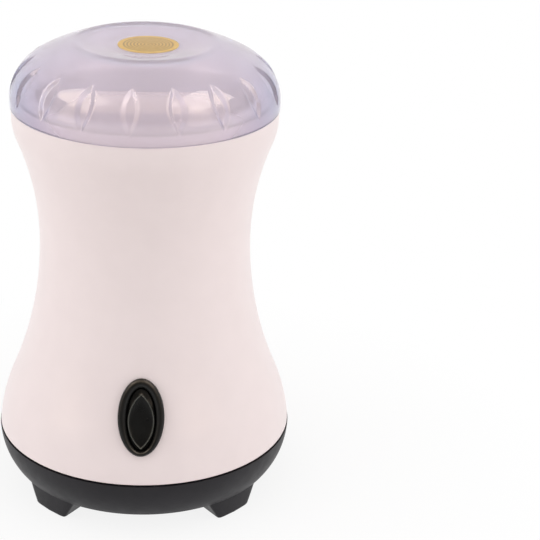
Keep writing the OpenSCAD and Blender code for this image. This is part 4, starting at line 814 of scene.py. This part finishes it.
def foot():
    """Tapered block bent round the axis: each level is a rounded rectangle whose width falls from
    the ring to the floor, with a fillet where it leaves the ring and a rounded edge below. A
    rounded rectangle is the curve |x|^14 + |y|^14 = 1, stretched."""
    fillet, edge, sink, step_out, columns = 1.0, 0.6, 0.6, 0.4, 96
    levels = np.concatenate([[FOOT_H + sink], FOOT_H - fillet * np.linspace(0, 1, 7),
                             np.linspace(FOOT_H - fillet, edge, 8)[1:-1],
                             edge * np.linspace(1, 0, 7)])
    share = levels / FOOT_H
    flare = np.clip((levels - FOOT_H + fillet) / fillet, 0, 1)
    grow = fillet * (1 - np.sqrt(1 - np.minimum(flare, 0.999) ** 2))
    drop = np.clip((edge - levels) / edge, 0, 1)
    shrink = edge * (1 - np.sqrt(1 - drop ** 2))
    half = (FOOT_LOW_W + (FOOT_TOP_W - FOOT_LOW_W) * share) / 2 + grow - shrink
    outer = RING_LOW_R - FOOT_LEAN + (FOOT_LEAN - step_out) * np.minimum(share, 1) - shrink
    inner = RING_LOW_R - FOOT_LEAN - FOOT_DEPTH - grow + shrink
    deep, wide = oblong(columns, 14)
    r = ((outer + inner) / 2)[:, None] + ((outer - inner) / 2)[:, None] * deep
    swing = half[:, None] * wide / RING_LOW_R
    rows = np.stack([r * np.cos(swing), r * np.sin(swing),
                     np.repeat(levels[:, None], columns, 1)], -1)
    return skin(rows, poles=True)


def vent_slots():
    """Parallel slots with round ends in a round field."""
    width, pitch, field = 2.6, 6.0, 24.0
    rows = int((field - width) / pitch)
    slots = []
    for i in range(-rows, rows + 1):
        half = math.sqrt(field ** 2 - (i * pitch) ** 2) - width
        outline = np.concatenate([arc((half, i * pitch), width / 2, -90, 90, 8),
                                  arc((-half, i * pitch), width / 2, 90, 270, 8)])
        slots.append(prism(outline, FOOT_H - PAST, FOOT_H + BASE_FLOOR + PAST))
    return joined(slots)


dress(base_shell(), CHARCOAL_ABS, "casing", "base_grey", "base")


# ---- Button ----
def vesica_r(turn, inset):
    """Distance from the middle to a pointed oval of two arcs, moved inwards by an inset."""
    narrower, shorter = 0.1, 1.5
    a, b = (BUTTON_W - narrower) / 2, (BUTTON_L - shorter) / 2
    radius = (a * a + b * b) / (2 * a)
    side = (a - radius) * np.abs(np.cos(turn))
    return side + np.sqrt(side ** 2 - (a - radius) ** 2 + (radius - inset) ** 2)


def push_button():
    """Rings from the middle of the face outwards: a shallow dish inside a pointed oval, a fine
    half-round ridge along it, a flank that falls to the oval body, the flange behind, and the
    spring's pocket with its pin. The attribute ridge rises to 1 on the crest of the ridge, where
    the material paints a highlight."""
    dish, edge, flange_t, flange_out, neck = 0.35, 0.15, 1.2, 0.8, 0.3
    dish_rings, ridge_rings, flank_rings = 14, 10, 5
    turn = np.linspace(0, 2 * np.pi, OVAL_STEPS, endpoint=False)
    ray = np.stack([np.cos(turn), np.sin(turn)], 1)
    a, b = BUTTON_W / 2, BUTTON_L / 2

    def oval(grow):
        """Oval of the body, grown all round: the ray is cut where (x / a)^2 + (y / b)^2 = 1."""
        reach = 1 / np.sqrt((ray[:, 0] / (a + grow)) ** 2 + (ray[:, 1] / (b + grow)) ** 2)
        return ray * reach[:, None]

    def pointed(inset, scale=1.0):
        """Pointed oval of the face, moved inwards and scaled."""
        return ray * (vesica_r(turn, inset) * scale)[:, None] - [0, FACE_DROP]

    def steps(count, end=1.0):
        """Shares from just past 0 to the end."""
        return np.linspace(0, end, count + 1)[1:]

    face = BUTTON_PROUD - RIDGE_H
    flange_high = -SLEEVE_DEPTH - SEAT_GAP
    flange_low, flange = flange_high - flange_t, BUTTON_GAP + flange_out
    rings = [(pointed(RIDGE_W, t), face - dish * (1 - t ** 4))
             for t in np.linspace(0.04, 1, dish_rings)]
    rings += [(pointed(RIDGE_W * (1 - t)), face + RIDGE_H * (1 - abs(2 * t - 1) ** 1.3))
              for t in steps(ridge_rings)]
    rings += [(pointed(0) * (1 - t) + oval(-edge) * t, face - (face - BODY_EDGE) * t)
              for t in steps(flank_rings)]
    rings += [(oval(-edge * (1 - math.sin(t))), BODY_EDGE - edge * (1 - math.cos(t)))
              for t in steps(flank_rings, math.pi / 2)]
    rings += [(oval(0), flange_high + neck), (oval(neck), flange_high),
              (oval(flange), flange_high), (oval(flange), flange_low)]
    rings += [(ray * r, z) for r, z in ((POCKET_R, flange_low), (POCKET_R, POCKET_Z),
                                        (PIN_R, POCKET_Z), (PIN_R, flange_low))]
    rows = np.stack([np.column_stack([ring, np.full(len(ring), z)]) for ring, z in rings])
    button = solid("push_button", moved(skin(rows, poles=True), BUTTON_FRAME), 45)

    # Share of the painted highlight, highest on the ridge's crest
    ridge = np.zeros(len(button.data.vertices), np.float32)
    first, last = dish_rings * OVAL_STEPS, (dish_rings + ridge_rings) * OVAL_STEPS
    ridge[first:last] = np.repeat(1 - np.abs(2 * steps(ridge_rings) - 1), OVAL_STEPS)
    mark(button, "ridge", ridge)
    return button


def wall_height(x, y):
    """Height of the housing's wall over the button's plane: the local Z at which a line square to
    that plane meets the wall, found by stepping towards it."""
    turn, place = np.array(BUTTON_FRAME.to_3x3()), np.array(BUTTON_FRAME.translation)
    z = np.zeros_like(x)
    for _ in range(12):
        point = np.stack([x, y, z], -1) @ turn.T + place
        z = z - (np.hypot(point[..., 0], point[..., 1]) - housing_r(point[..., 2] - SEAM_Z))
    return z


def button_bezel():
    """Half-round section carried between two ovals, the outer one a little higher. It sits on the
    curved wall, and a sleeve runs through the opening."""
    foot_share, sleeve_clear, crest_steps = 0.8, 0.1, 20
    turn = np.linspace(0, 2 * np.pi, OVAL_STEPS, endpoint=False)
    a, b = BUTTON_W / 2 + BUTTON_GAP, BUTTON_L / 2 + BUTTON_GAP
    near = ellipse(a, b)
    far = ellipse(a + BEZEL_W, b + BEZEL_END_W) + [0, BEZEL_RISE]
    out = np.stack([np.cos(turn) / a, np.sin(turn) / b], 1)
    out /= np.linalg.norm(out, axis=1)[:, None]

    def level(flat, height):
        """Flat outline at one height over the button's plane."""
        return np.column_stack([flat, np.full(OVAL_STEPS, height)])

    rows = [level(near, height) for height in (-SLEEVE_DEPTH, -SLEEVE_DEPTH / 2)]
    rows += [level(near + share * (far - near), BEZEL_PROUD + (height - 0.5) * BEZEL_W)
             for share, height in arc((0.5, 0), 0.5, 180, 0, crest_steps)]
    for flat in (far, near + foot_share * (far - near), near + (SLEEVE_T + sleeve_clear) * out,
                 near + SLEEVE_T * out):
        rows.append(np.column_stack([flat, wall_height(flat[:, 0], flat[:, 1])]))
    rows.append(level(near + SLEEVE_T * out, -SLEEVE_DEPTH))
    return solid("bezel_ring", moved(skin(np.stack(rows), loop=True), BUTTON_FRAME), 45)


def press_spring():
    """Coil between the switch and the button's pocket, built at one length; on the grinder
    it shortens as the button goes in.
    """
    low_end = Matrix.Translation((0, 0, POCKET_Z - SEAT_GAP - SPRING_LEN))
    place = BUTTON_FRAME @ low_end
    shape = coil(SPRING_R, SPRING_WIRE, SPRING_LEN, SPRING_TURNS)
    piece = solid("press_spring", moved(shape, place))
    dress(piece, SPRING_STEEL, "casing", "screw_steel", "button_spring")
    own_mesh(piece)


dress(push_button(), BLACK_ABS, "button", "button_black", "button")
dress(button_bezel(), BEZEL_ABS, "casing", "button_black", "button_bezel")
press_spring()


# ---- Bowl and blade ----
def bowl():
    """Spun cup: flange, rolled edge, leaning wall, round corner and raised seat, turned round the
    axis. Its lower face is the same outline, moved out by the sheet's thickness."""
    mouth_r, depth, corner, taper, thick = 37.5, 38.0, 12.0, 6.6, 0.8
    edge, seat_r, seat_h, seat_run, hole_r = 1.6, 11.0, 3.0, 8, 5.9
    seat_lean, seat_grow, seat_edges = 1.6, 0.6, [0, 1.2, 1.0, 0]
    lean_sin, lean_cos = math.sin(math.radians(taper)), math.cos(math.radians(taper))
    corner_c = (mouth_r + (-corner + (corner - depth) * lean_sin) / lean_cos, corner - depth)
    edge_c = (mouth_r + (edge - edge * lean_sin) / lean_cos, -edge)

    def face(out):
        """Outline of one face from the flange to the hole in the seat."""
        foot_r = seat_r + out * seat_grow
        seat = filleted([(seat_r + seat_run, -depth - out), (foot_r, -depth - out),
                         (foot_r - seat_lean, seat_h - depth - out),
                         (hole_r, seat_h - depth - out)], seat_edges, 5)
        return np.concatenate([[(BOWL_FLANGE_R, -out)],
                               arc(edge_c, edge - out, 90, 180 - taper, 14),
                               arc(corner_c, corner + out, -taper, -90, 28), seat[1:]])

    profile = np.concatenate([face(0), face(thick)[::-1]]) + [0, BOWL_FLANGE_Z]
    return solid("spun_bowl", turned(profile, 256))


def blade():
    """Bar with two wings. Across the bar a section of rounded oblong shape is thinned to a bevel on
    its leading side; along the bar the sections turn and rise towards the tips. The half width is
    that of the wing or of the round hub, whichever is more, and is drawn in at the very tip."""
    length, root_w, tip_w, thick, twist, rise = 56.0, 11.0, 8.0, 1.4, 24.0, 6.0
    hub_r, hole_r, flat_run, tip_run, tip_cut = 6.0, 2.55, 2.0, 2.5, 0.6
    bevel_w, bevel_cut, bevel_ease, columns = 2.4, 0.8, 6, 48
    x = length / 2 * np.sin(np.radians(np.linspace(-90, 90, 97)))
    share = np.clip((np.abs(x) - flat_run) / (length / 2 - 2 * flat_run), 0, 1)
    half = (root_w + (tip_w - root_w) * share) / 2
    half = np.maximum(half, np.sqrt(np.maximum(hub_r ** 2 - x ** 2, 0)))
    tip = np.clip((np.abs(x) - length / 2 + tip_run) / tip_run, 0, 1)
    half = half * (1 - tip ** 2.5 * tip_cut)
    across, up = oblong(columns, 12)
    side = np.sign(x)[:, None]
    y = half[:, None] * across
    bevel = (np.clip((y * side - half[:, None] + bevel_w) / bevel_w, 0, 1)
             * np.clip(share * bevel_ease, 0, 1)[:, None])
    z = thick / 2 * up * (1 - bevel_cut * bevel)
    angle = np.radians(twist * share ** 1.3)[:, None] * side
    lift = (rise * share ** 1.6)[:, None]
    rows = np.stack([np.repeat(x[:, None], columns, 1), y * np.cos(angle) - z * np.sin(angle),
                     y * np.sin(angle) + z * np.cos(angle) + thick / 2 + lift], -1)

    # Its underside at the hub lies on the spacer
    level = corners("blade_spacer")[1][2]
    bar = moved(skin(rows, poles=True), Matrix.Translation((0, 0, level)))
    hole = prism(ellipse(hole_r, hole_r, 48), level - PAST, level + thick + PAST)
    return combined(solid("winged_blade", bar, 30), hole, crease=30)


dress(bowl(), SPUN_STEEL, "casing", "bowl_steel", "grinding_bowl")
dress(blade(), GROUND_STEEL, "rotor", "blade_steel", "blade")

for node_name, node_material in NODE_MATERIALS.items():
    for material_slot in frame["nodes"][node_name].material_slots:
        material_slot.material = node_material

bpy.context.scene.view_settings.view_transform = "Standard"

# ---- Camera ----
# It stands in front of the grinder and looks down, with the grinder left of the middle, and leans
# a little. The distance is from the Z axis and the height from the floor.
VIEW_DISTANCE, VIEW_HEIGHT = 544.6, 320.6
VIEW_TURN, VIEW_YAW, VIEW_PITCH, VIEW_ROLL = 1.7, 4.71, 23.73, 2.02
FOCAL_PIXELS, FRAME_PIXELS, SENSOR = 1652.4, 540, 36.0


def place_camera():
    """Camera whose axes are worked out from its yaw, pitch and roll."""
    yaw, pitch, roll = (math.radians(angle) for angle in (VIEW_YAW, VIEW_PITCH, VIEW_ROLL))
    ahead = Vector((math.sin(yaw) * math.cos(pitch), math.cos(yaw) * math.cos(pitch),
                    -math.sin(pitch)))
    right = ahead.cross(Vector((0, 0, 1))).normalized()
    up = right.cross(ahead)
    tilted = right * math.cos(roll) + up * math.sin(roll)
    raised = up * math.cos(roll) - right * math.sin(roll)
    pose = Matrix((tilted, raised, -ahead)).transposed().to_4x4()
    pose.translation = Vector((0, -VIEW_DISTANCE, VIEW_HEIGHT)) * MM
    data = bpy.data.cameras.new("camera")
    data.sensor_width = SENSOR
    data.lens = FOCAL_PIXELS / FRAME_PIXELS * SENSOR
    camera = placed("camera", data)
    camera.matrix_world = Matrix.Rotation(math.radians(VIEW_TURN), 4, "Z") @ pose
    bpy.context.scene.camera = camera


place_camera()


# ---- Floor, world and lamps ----
def floor():
    """Pale floor: seen directly or in a reflection it is white, apart from a share near the
    grinder that is left to the shaded paper."""
    half, near, far, near_share = 3.0, 0.05, 0.16, 0.86
    mesh = bpy.data.meshes.new("floor")
    mesh.from_pydata([(-half, -half, 0), (half, -half, 0), (half, half, 0), (-half, half, 0)], [],
                     [(0, 1, 2, 3)])
    plane = placed("floor", mesh)
    material = bpy.data.materials.new("white_paper_sweep")
    material.use_nodes = True
    tree = material.node_tree
    tree.nodes.clear()
    path = add(tree, "LightPath").outputs
    seen = add(tree, "Math", {0: path["Is Camera Ray"], 1: path["Is Glossy Ray"]},
               operation="MAXIMUM")
    seen = add(tree, "Math", {0: seen.outputs[0], 1: path["Is Transmission Ray"]},
               operation="MAXIMUM")
    place = add(tree, "TexCoord").outputs["Object"]
    away = add(tree, "VectorMath", {0: place}, operation="LENGTH").outputs["Value"]
    glow = add(tree, "MapRange", {"Value": away, "From Min": near, "From Max": far,
                                  "To Min": near_share, "To Max": 1.0}).outputs["Result"]
    share = add(tree, "Math", {0: seen.outputs[0], 1: glow}, operation="MULTIPLY")
    paper = add(tree, "BsdfDiffuse", {"Color": linear("#f4f2f1")})
    white = add(tree, "Emission", {"Color": linear("#ffffff"), "Strength": 1.0})
    mix = add(tree, "MixShader", {0: share.outputs[0], 1: paper.outputs[0], 2: white.outputs[0]})
    add(tree, "OutputMaterial", {"Surface": mix.outputs[0]})
    plane.data.materials.append(material)


def surroundings(level, front):
    """World: white where it is seen, but dim in front, where the camera stands, for what it mirrors
    in, and a level below white as light on matt surfaces."""
    world = bpy.data.worlds.new("studio")
    bpy.context.scene.world = world
    world.use_nodes = True
    tree = world.node_tree
    path = add(tree, "LightPath").outputs
    way = add(tree, "TexCoord").outputs["Generated"]
    towards = add(tree, "SeparateXYZ", {0: way}).outputs["Y"]
    behind = add(tree, "MapRange", {"Value": towards, "From Min": -0.45, "From Max": 0.15,
                                    "To Min": front, "To Max": 1.0},
                 interpolation_type="SMOOTHSTEP").outputs["Result"]
    seen = add(tree, "Mix", {FACTOR: path["Is Glossy Ray"], VALUE_A: 1.0, VALUE_B: behind})
    strength = add(tree, "Mix", {FACTOR: path["Is Diffuse Ray"], VALUE_A: seen.outputs[0],
                                 VALUE_B: level})
    background = tree.nodes["Background"]
    background.inputs["Color"].default_value = linear("#ffffff")
    tree.links.new(strength.outputs[0], background.inputs["Strength"])


def area_lamp(name, place, width, height, radiance, colour="#ffffff", mirrored=False):
    """Rectangular lamp aimed at the waist; its power is its radiance times pi times its area. A
    lamp lights the grinder, or it is only mirrored in it."""
    data = bpy.data.lights.new(name, "AREA")
    data.shape = "RECTANGLE"
    data.size, data.size_y = width * MM, height * MM
    data.energy = radiance * math.pi * data.size * data.size_y
    data.color = linear(colour)[:3]
    lamp = placed(name, data)
    lamp.visible_diffuse = not mirrored
    lamp.visible_glossy = mirrored
    aim = Vector((0, 0, AIM_HEIGHT)) - Vector(place)
    turn = aim.to_track_quat("-Z", "Y").to_matrix().to_4x4()
    lamp.matrix_world = Matrix.Translation(Vector(place) * MM) @ turn


# Height of the point that every lamp faces
AIM_HEIGHT = 90
# Place, width, height, radiance and colour of each lamp. The softboxes light the grinder. The
# panels and windows only give the clear lid and the black ring their warm reflections.
SOFTBOXES = {
    "left_softbox": ((-900, -250, 420), 700, 900, 1.6),
    "right_softbox": ((900, -250, 420), 700, 900, 1.6),
    "top_softbox": ((0, -300, 1100), 900, 500, 1.0),
}
MIRRORED_LAMPS = {
    "top_panel": ((0, -330, 1150), 2900, 1060, 2.8, "#ffe0be"),
    "left_panel": ((-820, -130, 1165), 850, 700, 4.3, "#fff0e0"),
    "right_panel": ((700, -170, 1165), 870, 720, 5.0, "#fff0e0"),
    "left_window": ((-910, -410, 500), 320, 700, 2.6, "#ffe6cc"),
    "right_window": ((740, -670, 700), 420, 900, 2.4, "#ffe6cc"),
}

floor()
surroundings(level=0.62, front=0.15)
for lamp_name, values in SOFTBOXES.items():
    area_lamp(lamp_name, *values)
for lamp_name, values in MIRRORED_LAMPS.items():
    area_lamp(lamp_name, *values, mirrored=True)
